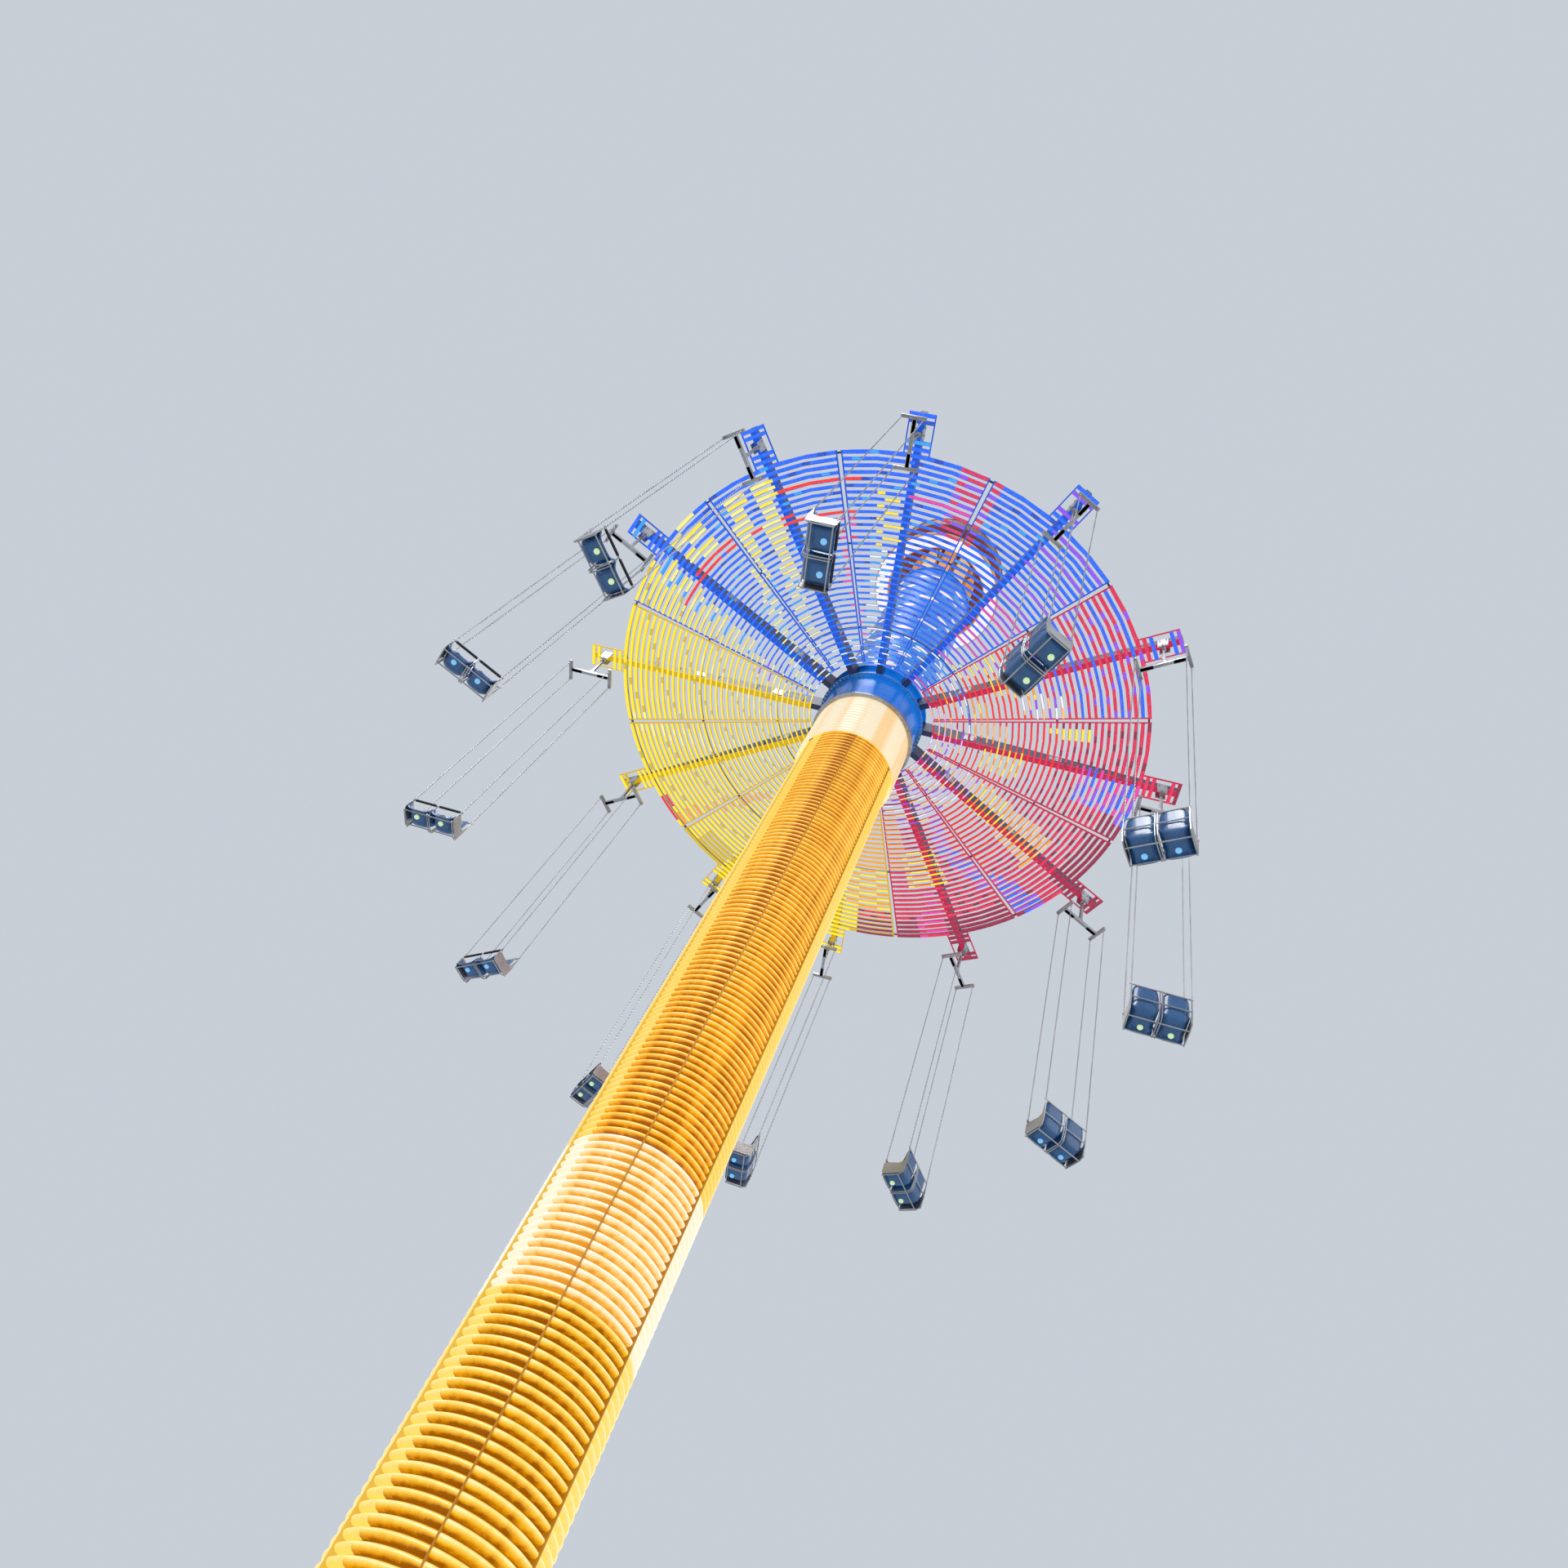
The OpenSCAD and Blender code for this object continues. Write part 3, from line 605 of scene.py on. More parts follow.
def bevel(obj, width, segments):
    """Rounds an object's sharp edges."""
    rounding = obj.modifiers.new("rounded_edges", "BEVEL")
    rounding.width = width
    rounding.segments = segments
    rounding.limit_method = "ANGLE"
    rounding.angle_limit = math.radians(40)
    return bake_modifiers(obj)


def fit(obj, body, slot, *stands_for, angle=38):
    """Shades a finished piece and hangs it on its CAD body."""
    smooth(obj, angle)
    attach(obj, body)
    if stands_for:
        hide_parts(*stands_for)
    return obj


# Geometry Nodes

def new_tree(name, inputs):
    """A Geometry Nodes tree with named inputs: its Bench, its group input and the inputs' identifiers."""
    group = bpy.data.node_groups.new(name, "GeometryNodeTree")
    keys = {}
    for label, kind in {"Piece": "Geometry", **inputs, "Finish": "Material"}.items():
        socket = group.interface.new_socket(name=label, in_out="INPUT", socket_type="NodeSocket" + kind)
        keys[label] = socket.identifier
    group.interface.new_socket(name="Result", in_out="OUTPUT", socket_type="NodeSocketGeometry")
    bench = Bench(group)
    return bench, bench.add("NodeGroupInput"), keys


def finish_tree(bench, given, copies):
    """Makes a tree's copies solid, and gives them their material and the tree its output."""
    solid = bench.add("GeometryNodeRealizeInstances", {0: copies})
    dressed = bench.add("GeometryNodeSetMaterial", {"Geometry": solid, "Material": given.out("Finish")})
    bench.add("NodeGroupOutput", {0: dressed})
    return bench.tree


def grow(obj, tree, keys, **values):
    """Runs a tree on an object and keeps the result as its plain mesh."""
    modifier = obj.modifiers.new("repeat", "NODES")
    modifier.node_group = tree
    for label, value in {**values, "Finish": obj.data.materials[0]}.items():
        modifier[keys[label]] = value
    return bake_modifiers(obj)


def repeat_tree():
    """Copies of a piece round the mast and up it."""
    bench, given, keys = new_tree("repeat_round_and_up", {
        "Round": "Int", "Turn": "Float", "First": "Float", "Up": "Int", "Rise": "Float"})
    stack = bench.add("GeometryNodeMeshLine", {
        "Count": given.out("Up"), "Offset": bench.vector(0.0, 0.0, given.out("Rise"))})
    line = bench.add("GeometryNodeMeshLine", {"Count": given.out("Round"), "Offset": (0.0, 0.0, 0.0)})
    number = bench.add("GeometryNodeInputIndex")
    spin = bench.vector(0.0, 0.0, number * given.out("Turn") + given.out("First"))
    around = bench.add("GeometryNodeInstanceOnPoints", {"Points": line, "Instance": given, "Rotation": spin})
    upwards = bench.add("GeometryNodeInstanceOnPoints", {"Points": stack, "Instance": around})
    return finish_tree(bench, given, upwards), keys


REPEAT = repeat_tree()


def repeat(obj, around, first=0.0, turn=None, up=1, rise=0.0):
    """Copies of an object round the mast, evenly all the way unless turn says how far apart, and up it."""
    return grow(obj, *REPEAT, Round=around, Turn=math.radians(turn or 360 / around),
                First=math.radians(first), Up=up, Rise=rise)


def spread(name, bm, finish, body, slot, around, first=0.0, edge=None):
    """Makes a piece with copies evenly round the mast. edge gives the width and segments of its bevels."""
    obj = new_object(name, bm, finish)
    if edge:
        bevel(obj, *edge)
    fit(repeat(obj, around, first), body, slot)


def chain_tree():
    """Links along a straight run, every second one turned a quarter."""
    bench, given, keys = new_tree("links_along_run", {"From": "Vector", "Pitch": "Float", "Links": "Int"})
    run = bench.add("GeometryNodeMeshLine", {
        "Count": given.out("Links"), "Start Location": given.out("From"),
        "Offset": bench.vector(0.0, 0.0, given.out("Pitch") * -1)})
    quarter = bench.add("GeometryNodeInputIndex").math("MODULO", 2.0) * (math.pi / 2)
    links = bench.add("GeometryNodeInstanceOnPoints", {
        "Points": run, "Instance": given, "Rotation": bench.vector(0.0, 0.0, quarter)})
    return finish_tree(bench, given, links), keys


# Ring lamps on the mast

def lens_outline(z0):
    """Rounded lens of one ring lamp, from its foot on the trough to its crest."""
    middle, half = z0 + LAMP_PITCH / 2, LAMP_PITCH * 0.4
    points = []
    for angle in range(-90, 91, 30):
        c, s = round_points(angle)
        points.append((LENS_ROOT_R + (LENS_TIP_R - LENS_ROOT_R) * c ** 0.8, middle + half * s))
    return points


def ring_lamps(node, lens_finish, trough_finish, slot):
    """Trough and lenses of one stretch of the mast, in six segments that meet at the guide blades."""
    z0, z1 = (corner.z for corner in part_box(node))
    segment = 360 / LAMP_SEGMENTS
    start = segment / 2 + LENS_GAP
    sweep = segment - 2 * LENS_GAP
    bm = bmesh.new()
    add_lathe(bm, lens_outline(z0), start, sweep, 14)
    lenses = new_object(node + "_lenses", bm, lens_finish)
    repeat(lenses, LAMP_SEGMENTS, up=round((z1 - z0) / LAMP_PITCH), rise=LAMP_PITCH)
    fit(lenses, "tower", slot, node, angle=50)
    bm = bmesh.new()
    add_lathe(bm, [(TROUGH_R, z0), (LENS_ROOT_R, z0), (LENS_ROOT_R, z1), (TROUGH_R, z1)], start, sweep, 14)
    trough = new_object(node + "_trough", bm, trough_finish)
    fit(repeat(trough, LAMP_SEGMENTS), "tower", slot, node)


# Light bars of the star

YELLOW = (1.0, 0.78, 0.0)
OLIVE = (0.62, 0.46, 0.01)
PALE = (0.95, 0.86, 0.20)
WHITE = (0.78, 0.88, 1.0)
AMBER = (1.0, 0.34, 0.0)
PEACH = (1.0, 0.55, 0.22)
BLUE = (0.0, 0.13, 1.0)
NIGHT = (0.0, 0.06, 0.52)
SKY = (0.02, 0.34, 1.0)
CRIMSON = (0.72, 0.01, 0.08)
WINE = (0.24, 0.006, 0.05)
SCARLET = (0.95, 0.015, 0.0)
VIOLET = (0.25, 0.07, 0.85)
LILAC = (0.72, 0.50, 0.95)
MAGENTA = (0.80, 0.04, 0.38)
PIECES = 16

# Streaks of the light show: first bar, azimuth there, last bar, azimuth there, width in degrees, colours
STREAKS = [
    (0, 186, 7, 205, 11, (PALE, SKY, WHITE)),
    (7, 205, 17, 216, 7, (PALE, SKY)),
    (17, 216, 32, 223, 4.5, (PALE, YELLOW)),
    (0, 206, 7, 220, 10, (WHITE, BLUE, PALE)),
    (7, 220, 17, 226, 6, (PALE, SKY)),
    (17, 226, 32, 230, 4.5, (YELLOW, PALE)),
    (26, 202, 27, 212, 18, (SCARLET,)),
    (26, 224, 25, 240, 20, (SCARLET,)),
    (30, 230, 30, 250, 22, (SCARLET,)),
    (28, 268, 28, 272, 14, (MAGENTA,)),
    (27, 208, 34, 208, 9, (PALE, YELLOW, BLUE)),
    (5, 249, 14, 246, 4, (MAGENTA, BLUE)),
    (14, 246, 25, 248, 4, (CRIMSON, BLUE, MAGENTA)),
    (20, 259, 28, 258, 6, (YELLOW, BLUE)),
    (4, 254, 20, 257, 5, (WHITE, SKY)),
    (24, 276, 40, 275, 8, (CRIMSON, VIOLET, CRIMSON)),
    (0, 230, 6, 300, 90, (SKY, BLUE, WHITE)),
    (3, 319, 9, 334, 11, (AMBER, AMBER, YELLOW)),
    (11, 321, 17, 325, 9, (AMBER, YELLOW)),
    (6, 307, 13, 313, 8, (PALE, VIOLET, YELLOW)),
    (15, 331, 21, 334, 8, (WHITE, PEACH, VIOLET)),
    (19, 341, 25, 342, 3, (YELLOW,)),
    (7, 341, 12, 346, 11, (PEACH, AMBER)),
    (0, 332, 3, 345, 20, (PEACH, LILAC)),
    (9, 358, 15, 356, 12, (AMBER, YELLOW)),
    (1, 347, 5, 352, 15, (LILAC, PEACH, VIOLET)),
    (2, 322, 16, 322, 30, (SCARLET,)),
    (4, 362, 13, 364, 12, (SCARLET,)),
    (12, 348, 20, 350, 18, (SCARLET, CRIMSON)),
    (25, 356, 37, 358, 10, (VIOLET, BLUE, MAGENTA)),
    (11, 17, 17, 18, 13, (YELLOW, AMBER)),
    (18, 19, 26, 21, 12, (AMBER, PEACH)),
    (6, 15, 11, 17, 11, (PEACH, LILAC)),
    (10, 41, 16, 45, 6, (VIOLET, MAGENTA)),
    (16, 45, 26, 38, 6, (VIOLET, BLUE, MAGENTA)),
    (26, 36, 40, 30, 6, (BLUE, VIOLET)),
    (26, 27, 38, 26, 5, (CRIMSON,)),
    (10, 30, 15, 34, 16, (SCARLET,)),
    (15, 34, 22, 31, 16, (SCARLET, CRIMSON)),
    (16, 55, 23, 55, 12, (YELLOW, AMBER)),
    (20, 64, 28, 61, 7, (CRIMSON,)),
    (22, 58, 42, 57, 8, (CRIMSON, MAGENTA)),
    (20, 74, 28, 74, 13, (YELLOW, AMBER)),
    (8, 70, 22, 70, 20, (AMBER,)),
    (0, 30, 10, 42, 76, (LILAC, WHITE, PEACH, VIOLET)),
    (15, 122, 20, 126, 4, (AMBER,)),
    (20, 126, 33, 131, 4, (AMBER, YELLOW)),
    (33, 133, 42, 133, 7, (CRIMSON,)),
    (30, 119, 36, 119, 9, (OLIVE,)),
    (8, 136, 15, 146, 8, (PALE, YELLOW)),
    (15, 146, 33, 158, 5, (PALE, YELLOW)),
    (4, 158, 10, 168, 9, (PALE, YELLOW)),
    (10, 168, 20, 180, 5, (PALE, YELLOW)),
    (0, 160, 6, 176, 22, (PALE, YELLOW)),
    (6, 185, 10, 188, 10, (PALE, VIOLET)),
    (12, 193, 32, 199, 6, (PALE, YELLOW, SKY)),
]


def streak_at(turn, bar):
    """The colours of the first streak that covers a place on the star, if any."""
    for first, there, last, gone, width, colours in STREAKS:
        low, high = min(first, last), max(first, last)
        if not low <= bar <= high:
            continue
        share = (bar - first) / (last - first) if last != first else 0.5
        middle = there + (gone - there) * share
        if abs((turn - middle + 180) % 360 - 180) <= width / 2:
            return colours
    return None


def lamp_colour(turn, bar, piece):
    """Colour of one length of a light bar. turn is its azimuth in degrees; bars count outwards."""
    colours = streak_at(turn, bar)
    if colours:
        return colours[(bar + piece // 3) % len(colours)]
    # Outside the streaks each field of the star has its main colour, with an odd length of another one
    odd = (bar * 7 + piece * 3) % 13
    border = 181 + 18 * min(1.0, bar / 20)
    if 78 < turn < border:
        return OLIVE if odd == 0 else YELLOW
    if border <= turn < 292:
        return NIGHT if odd == 0 else SKY if odd == 5 else BLUE
    if 292 <= turn < 309:
        return VIOLET if bar % 3 == 0 else MAGENTA if bar < 22 and bar % 2 else BLUE
    if bar > 30 and turn < 78:
        return WINE
    if 309 <= turn < 336 and bar > 17:
        return BLUE if bar % 3 == 0 else VIOLET if odd < 3 else CRIMSON
    return WINE if odd < 3 else CRIMSON


def bar_width(bar):
    """Width of a light bar: narrow near the mast, wide at the rim."""
    return BAR_W + (RIM_BAR_W - BAR_W) * min(bar / (BARS - 1), 1) ** 2


def lens_section(bar):
    """Half-round outline of (radius, height) points under a light bar, a little narrower than the bar."""
    width = bar_width(bar)
    middle = BAR_R0 + bar * BAR_PITCH + width / 2
    half = width / 2 - 0.003
    return [(middle - half * c, BAR_UNDERSIDE - 0.012 * s)
            for c, s in (round_points(angle) for angle in range(0, 181, 45))]


def fan_lamps(colour, first_arm):
    """Lenses under the light bars of four neighbouring arms and across the arms' narrow tips."""
    bm = bmesh.new()
    half_turn, half_tip = FAN_HALF_DEG - 0.3, TIP_HALF - 0.015
    for bar in range(BARS):
        add_lathe(bm, lens_section(bar), -half_turn, 2 * half_turn, PIECES)
    for bar in (BARS, BARS + 1, BARS + 4, BARS + 5):
        add_plate(bm, lens_section(bar), -half_tip, half_tip, lambda u, v, w: (u, w, v))
    obj = new_object(f"bar_lenses_{colour}", bm, BAR_LENS)
    repeat(obj, ARMS // 3, first_arm * ARM_STEP + STAR_TURN, ARM_STEP)
    store = obj.data.color_attributes.new("lamp_colour", "FLOAT_COLOR", "CORNER")
    for face in obj.data.polygons:
        middle = face.center
        turn = math.degrees(math.atan2(middle.y, middle.x)) % 360
        bar = int((math.hypot(middle.x, middle.y) - BAR_R0 + 0.03) / BAR_PITCH)
        piece = int(turn * PIECES / (2 * FAN_HALF_DEG))
        tone = lamp_colour(turn, bar, piece)
        for corner in face.loop_indices:
            store.data[corner].color = (*tone, 1)
    fit(obj, "star", f"bar_{colour}")


# Sleeve

def sleeve_dashes():
    """Tapered dashes of light that lean round the blue sleeve in staggered rows."""
    inner, outer = 1.0953, 1.1073
    rows, around, pitch, height, lean, steps = 9, 6, 0.77, 0.22, 0.08, 20
    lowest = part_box("sleeve_strokes")[0].z + height / 2
    bm = bmesh.new()
    for row in range(rows):
        middle = lowest + row * pitch
        for k in range(around):
            start = k * 360 / around + row * 23
            sweep = 24 + 6 * ((row + 2 * k) % 3)
            loops = []
            for i in range(steps + 1):
                share = 0.5 - 0.5 * math.cos(math.pi * i / steps)
                half = max(0.004, height / 2 * math.sin(math.pi * share) ** 0.35)
                c, s = round_points(start + sweep * share)
                z = middle + lean * (share - 0.5)
                face = half * 0.7
                corners = ((inner, z - half), (outer, z - face), (outer, z + face), (inner, z + half))
                loops.append([bm.verts.new((r * c, r * s, h)) for r, h in corners])
            cover(bm, loops)
    obj = new_object("sleeve_dashes", bm, stroke_lamp())
    fit(obj, "star", "stroke_white", "sleeve_strokes")


# Bolts and small steelwork

def add_bolt(bm, place, head=0.018, thick=0.012, washer=0.026):
    """A hexagon head on a round washer, its axis along the place's own Z."""
    for radius, sides, low, high in ((washer, 12, 0.0, 0.003), (head, 6, 0.003, 0.003 + thick)):
        add_plate(bm, circle(radius, sides), low, high, lambda u, v, w: place @ Vector((u, v, w)))


def beside_arm(x, y, z):
    """A place at an arm's side whose own Z points away from the arm."""
    return Matrix.Translation((x, y, z)) @ Matrix.Rotation(math.copysign(math.pi / 2, -y), 4, "X")


def bolt_circle(name, radius, height, count, body, slot, finish=STEEL, down=False, **size):
    """A ring of bolts on a flange."""
    bm = bmesh.new()
    place = Matrix.Translation((radius, 0, height))
    if down:
        place = place @ Matrix.Rotation(math.pi, 4, "X")
    add_bolt(bm, place, **size)
    spread(name, bm, finish, body, slot, count, 180 / count)


def anchor_bolts():
    """Threaded anchor bolts with their nuts and washers on the foot flange."""
    flange_top, radius = 0.06, 1.48
    bm = bmesh.new()
    add_bolt(bm, Matrix.Translation((radius, 0, flange_top)), head=0.042, thick=0.034, washer=0.052)
    add_rod(bm, (radius, 0, flange_top + 0.03), (radius, 0, flange_top + 0.10), 0.0205, 10)
    for k in range(5):
        thread = flange_top + 0.045 + k * 0.010
        add_rod(bm, (radius, 0, thread), (radius, 0, thread + 0.004), 0.0225, 10)
    spread("anchor_nuts", bm, STEEL, "tower", "steel", ANCHORS)


def weld_beads():
    """Weld beads where the gussets and the mast meet the foot flange."""
    bm = bmesh.new()
    add_hoop(bm, 0.8835, 0.064, 96, 0.012)
    # A gusset stands between each two anchor bolts
    for k in range(ANCHORS):
        c, s = round_points(360 / ANCHORS * (k + 0.5))
        for off in (-0.017, 0.017):
            along = [(r, 0.063) for r in (0.9, 1.26, 1.62)]
            upward = [(0.885, z) for z in (0.07, 0.5, 0.955)]
            for bead in (along, upward):
                add_swept_tube(bm, [(r * c - off * s, r * s + off * c, z) for r, z in bead], 0.009, 5)
    fit(new_object("foot_welds", bm, FOOT_GREY), "tower", "base_grey")


def hub_details():
    """Bolts in the hub's two flanges, over and under the arms, and under the slewing race."""
    bolt_circle("hub_bolts_lower", 1.205, ARM_Z - 0.03, 72, "star", "steel", down=True)
    bolt_circle("hub_bolts_upper", 1.205, ARM_ROOT_TOP + 0.03, 72, "star", "steel")
    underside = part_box("slewing_race")[0].z
    bolt_circle("race_bolts", 1.148, underside, 48, "carriage", "steel", down=True, head=0.012, washer=0.018)


def arm_top(x):
    """Height of an arm's tapered top at a distance from the mast's axis."""
    return ARM_ROOT_TOP + (ARM_TIP_TOP - ARM_ROOT_TOP) * (x - ARM_ROOT_X) / (ARM_TIP_X - ARM_ROOT_X)


def arm_details():
    """Ribs, splice plates and bolts on the arms."""
    bm = bmesh.new()
    for x in (1.7, 2.9, 3.9, 4.9, 5.9):
        for side in (-1, 1):
            add_box(bm, (x - 0.012, side * ARM_HALF, ARM_Z + 0.01),
                    (x + 0.012, side * (ARM_HALF + 0.016), arm_top(x) - 0.01))
    spread("arm_ribs", bm, ARM_NAVY, "star", "arm_navy", ARMS, STAR_TURN, edge=(0.003, 1))
    bm = bmesh.new()
    for x in (2.35, 4.35):
        low, high = ARM_Z + 0.04, arm_top(x) - 0.04
        for side in (-1, 1):
            face = side * (ARM_HALF + 0.008)
            add_box(bm, (x - 0.14, side * ARM_HALF, low), (x + 0.14, face, high))
            for dx in (-0.1, 0.0, 0.1):
                for z in (low + 0.04, high - 0.04):
                    add_bolt(bm, beside_arm(x + dx, face, z), 0.011, 0.008, 0.016)
    spread("arm_splices", bm, STEEL, "star", "steel", ARMS, STAR_TURN)


def pin_heads():
    """Retaining plates and bolts on the ends of the swing pins."""
    bm = bmesh.new()
    for side in (-1, 1):
        face, cap = side * 0.088, side * 0.094
        add_plate(bm, circle(0.032, 16), face, cap, lambda u, v, w: (PIN_X + u, w, PIN_Z + v))
        add_bolt(bm, beside_arm(PIN_X, cap, PIN_Z), 0.010, 0.008, 0.015)
        for dx in (-0.07, 0.07):
            for z in (ARM_Z + 0.03, ARM_Z + 0.08):
                add_bolt(bm, beside_arm(PIN_X + dx, face, z), 0.013, 0.009, 0.019)
    spread("pin_plates", bm, STEEL, "star", "steel", ARMS, STAR_TURN)


# Hanging twin chairs

def bucket(bm, side):
    """One bucket of the twin seat: a pan with raised sides that runs up into the back."""
    half, across, first_of_back = 0.245, 10, 7
    stations = [  # depth y, height z, height of the raised side, share of the width
        (0.228, 0.034, 0.060, 0.97), (0.222, 0.062, 0.150, 0.99), (0.17, 0.070, 0.225, 1.0),
        (0.05, 0.060, 0.235, 1.0), (-0.07, 0.062, 0.236, 1.0), (-0.165, 0.078, 0.232, 1.0),
        (-0.205, 0.135, 0.19, 1.0), (-0.222, 0.25, 0.10, 1.0), (-0.232, 0.40, 0.055, 0.97),
        (-0.242, 0.55, 0.045, 0.93), (-0.250, 0.655, 0.040, 0.85), (-0.254, 0.690, 0.025, 0.70)]
    rows = []
    for i, (y, z, lift, share) in enumerate(stations):
        row = []
        for j in range(across + 1):
            t = 2 * j / across - 1
            curl = lift * abs(t) ** 4.5
            dy, dz = (curl, 0.0) if i >= first_of_back else (0.0, curl)
            row.append(bm.verts.new((side * SEAT_X + half * share * t, y + dy, z + dz)))
        rows.append(row)
    for a, b in zip(rows, rows[1:]):
        for quad in zip(a, a[1:], b[1:], b):
            bm.faces.new(quad)


def seat_shell():
    """Two moulded buckets side by side, given a wall and soft edges."""
    bm = bmesh.new()
    for side in (-1, 1):
        bucket(bm, side)
    obj = new_object("seat_shell", bm, SHELL_BLUE, outward=False)
    wall = obj.modifiers.new("wall", "SOLIDIFY")
    wall.thickness = 0.016
    wall.offset = 0
    soft = obj.modifiers.new("rounding", "SUBSURF")
    soft.levels = 1
    soft.render_levels = 1
    return bake_modifiers(obj)


def seat_frame():
    """Steel cradle under the buckets, side plates, lap-bar posts and the bar itself."""
    bm = bmesh.new()
    runner = [(0.215, 0.018), (0.10, 0.012), (-0.15, 0.012), (-0.225, 0.062), (-0.256, 0.262), (-0.258, 0.68)]
    for x in (-0.50, -0.02, 0.02, 0.50):
        add_swept_tube(bm, [(x, y, z) for y, z in runner], 0.012, 8)
    for y, z in ((0.19, 0.016), (-0.13, 0.012), (-0.258, 0.36), (-0.258, 0.665)):
        add_rod(bm, (-CHAIN_X, y, z), (CHAIN_X, y, z), 0.012)
    side_plate = [(-0.245, 0.05), (0.20, 0.05), (0.225, 0.10), (0.222, 0.30), (0.16, 0.33), (-0.10, 0.30),
                  (-0.20, 0.34), (-0.262, 0.66), (-0.268, 0.30)]
    for x in (-0.508, 0.508):
        add_plate(bm, side_plate, x - 0.004, x + 0.006, lambda u, v, w: (w, u, v))
        add_rod(bm, (x, FRONT_Y, 0.27), (x, FRONT_Y, 0.395), 0.013)
        add_rod(bm, (x - 0.012, FRONT_Y, LAP_Z), (x + 0.010, FRONT_Y, LAP_Z), 0.024, 10)
    add_rod(bm, (-CHAIN_X, FRONT_Y, LAP_Z), (CHAIN_X, FRONT_Y, LAP_Z), 0.013, 10)
    add_rod(bm, (0, FRONT_Y, LAP_Z), (0, 0.205, 0.08), 0.011)
    return new_object("seat_frame", bm, STEEL)


def lap_foam():
    """Foam sleeves on the lap bar, one for each seat, with tapered ends."""
    bm = bmesh.new()
    for side in (-1, 1):
        start, inner, outer, end = [(side * x, FRONT_Y, LAP_Z) for x in (0.028, 0.04, 0.465, 0.477)]
        add_rod(bm, inner, outer, 0.024, 12)
        add_rod(bm, start, inner, 0.018, 12, 0.024)
        add_rod(bm, outer, end, 0.024, 12, 0.018)
    return new_object("lap_foam", bm, BLACK_FOAM)


def marker_lamps():
    """Two small domed lamps under the seat pans, near the front edge."""
    bm = bmesh.new()
    for side in (-1, 1):
        rings = []
        for r, z in ((0.050, 0.040), (0.050, 0.020), (0.044, 0.008), (0.026, 0.001), (0.010, -0.001)):
            rings.append([bm.verts.new((side * SEAT_X + u, v + 0.08, z)) for u, v in circle(r, 12)])
        cover(bm, rings)
    return new_object("marker_lamps", bm, GREEN_MARKER)


def hanger():
    """Swing eye, tapered neck and the spreader frame that carries the four chains."""
    bm = bmesh.new()
    eye = ((0.0456, -0.06), (0.0456, 0.06), (0.0206, 0.06), (0.0206, -0.06))
    cover(bm, [[bm.verts.new((u, y, EYE_Z + v)) for u, v in circle(r, 20)] for r, y in eye], closed=True)
    neck = [(-0.024, EYE_Z - 0.035), (0.024, EYE_Z - 0.035), (0.038, SPREADER_Z + 0.12),
            (0.075, SPREADER_Z + 0.046), (-0.075, SPREADER_Z + 0.046), (-0.038, SPREADER_Z + 0.12)]
    add_box(bm, (-0.008, -0.018, SPREADER_Z + 0.046), (0.008, 0.018, EYE_Z - 0.04))
    for k in range(4):
        rung = SPREADER_Z + 0.18 + k * 0.15
        add_box(bm, (-0.03, -0.03, rung), (0.03, 0.03, rung + 0.008))
    top, bottom = SPREADER_Z + 0.045, SPREADER_Z - 0.045
    add_box(bm, (-0.50, -0.035, bottom), (0.50, 0.035, top))
    for side in (-1, 1):
        add_plate(bm, neck, side * 0.018, side * 0.026, lambda u, v, w: (u, w, v))
        x = side * CHAIN_X
        add_box(bm, (x - 0.035, BACK_Y - 0.035, bottom + 0.015), (x + 0.035, FRONT_Y + 0.035, top - 0.005))
        add_box(bm, (side * 0.20, -0.045, bottom), (side * 0.47, 0.045, bottom + 0.004))
    return bevel(new_object("hanger", bm, STEEL), 0.004, 2)


def chain_shackles():
    """Shackles at both ends of each chain."""
    bm = bmesh.new()
    for x, y, foot in CHAINS:
        for z, up in ((SPREADER_Z - 0.03, -1), (foot - 0.03, 1)):
            arc = [(x + u, y, z + up * (0.045 + v)) for u, v in circle(0.018, 12)[:7]]
            add_swept_tube(bm, [(x + 0.018, y, z), *arc, (x - 0.018, y, z)], 0.006)
            add_rod(bm, (x - 0.028, y, z + up * 0.004), (x + 0.028, y, z + up * 0.004), 0.008, 6)
    return new_object("chain_shackles", bm, CHAIN_STEEL)


def link_mesh():
    """One chain link, its long side upright, centred on the origin."""
    half_long, half_wide, wire = 0.030, 0.0125, 0.0048
    straight = half_long - half_wide
    bm = bmesh.new()
    points = [(u, 0, v + (-straight if v < -0.001 else straight)) for u, v in circle(half_wide, 8)]
    add_swept_tube(bm, points, wire, 4, closed=True)
    return bm


def chair_chains():
    """Four link chains, from the spreader down to the seat."""
    growth = chain_tree()
    pitch, top = 0.05, SPREADER_Z - 0.10
    bm = bmesh.new()
    for x, y, foot in CHAINS:
        run = new_object("chain_run", link_mesh(), CHAIN_STEEL)
        links = int((top - foot - 0.02) / pitch) + 1
        grow(run, *growth, From=(x, y, top), Pitch=pitch, Links=links)
        bm.from_mesh(run.data)
        bpy.data.objects.remove(run)
    return new_object("chair_chains", bm, CHAIN_STEEL, outward=False)


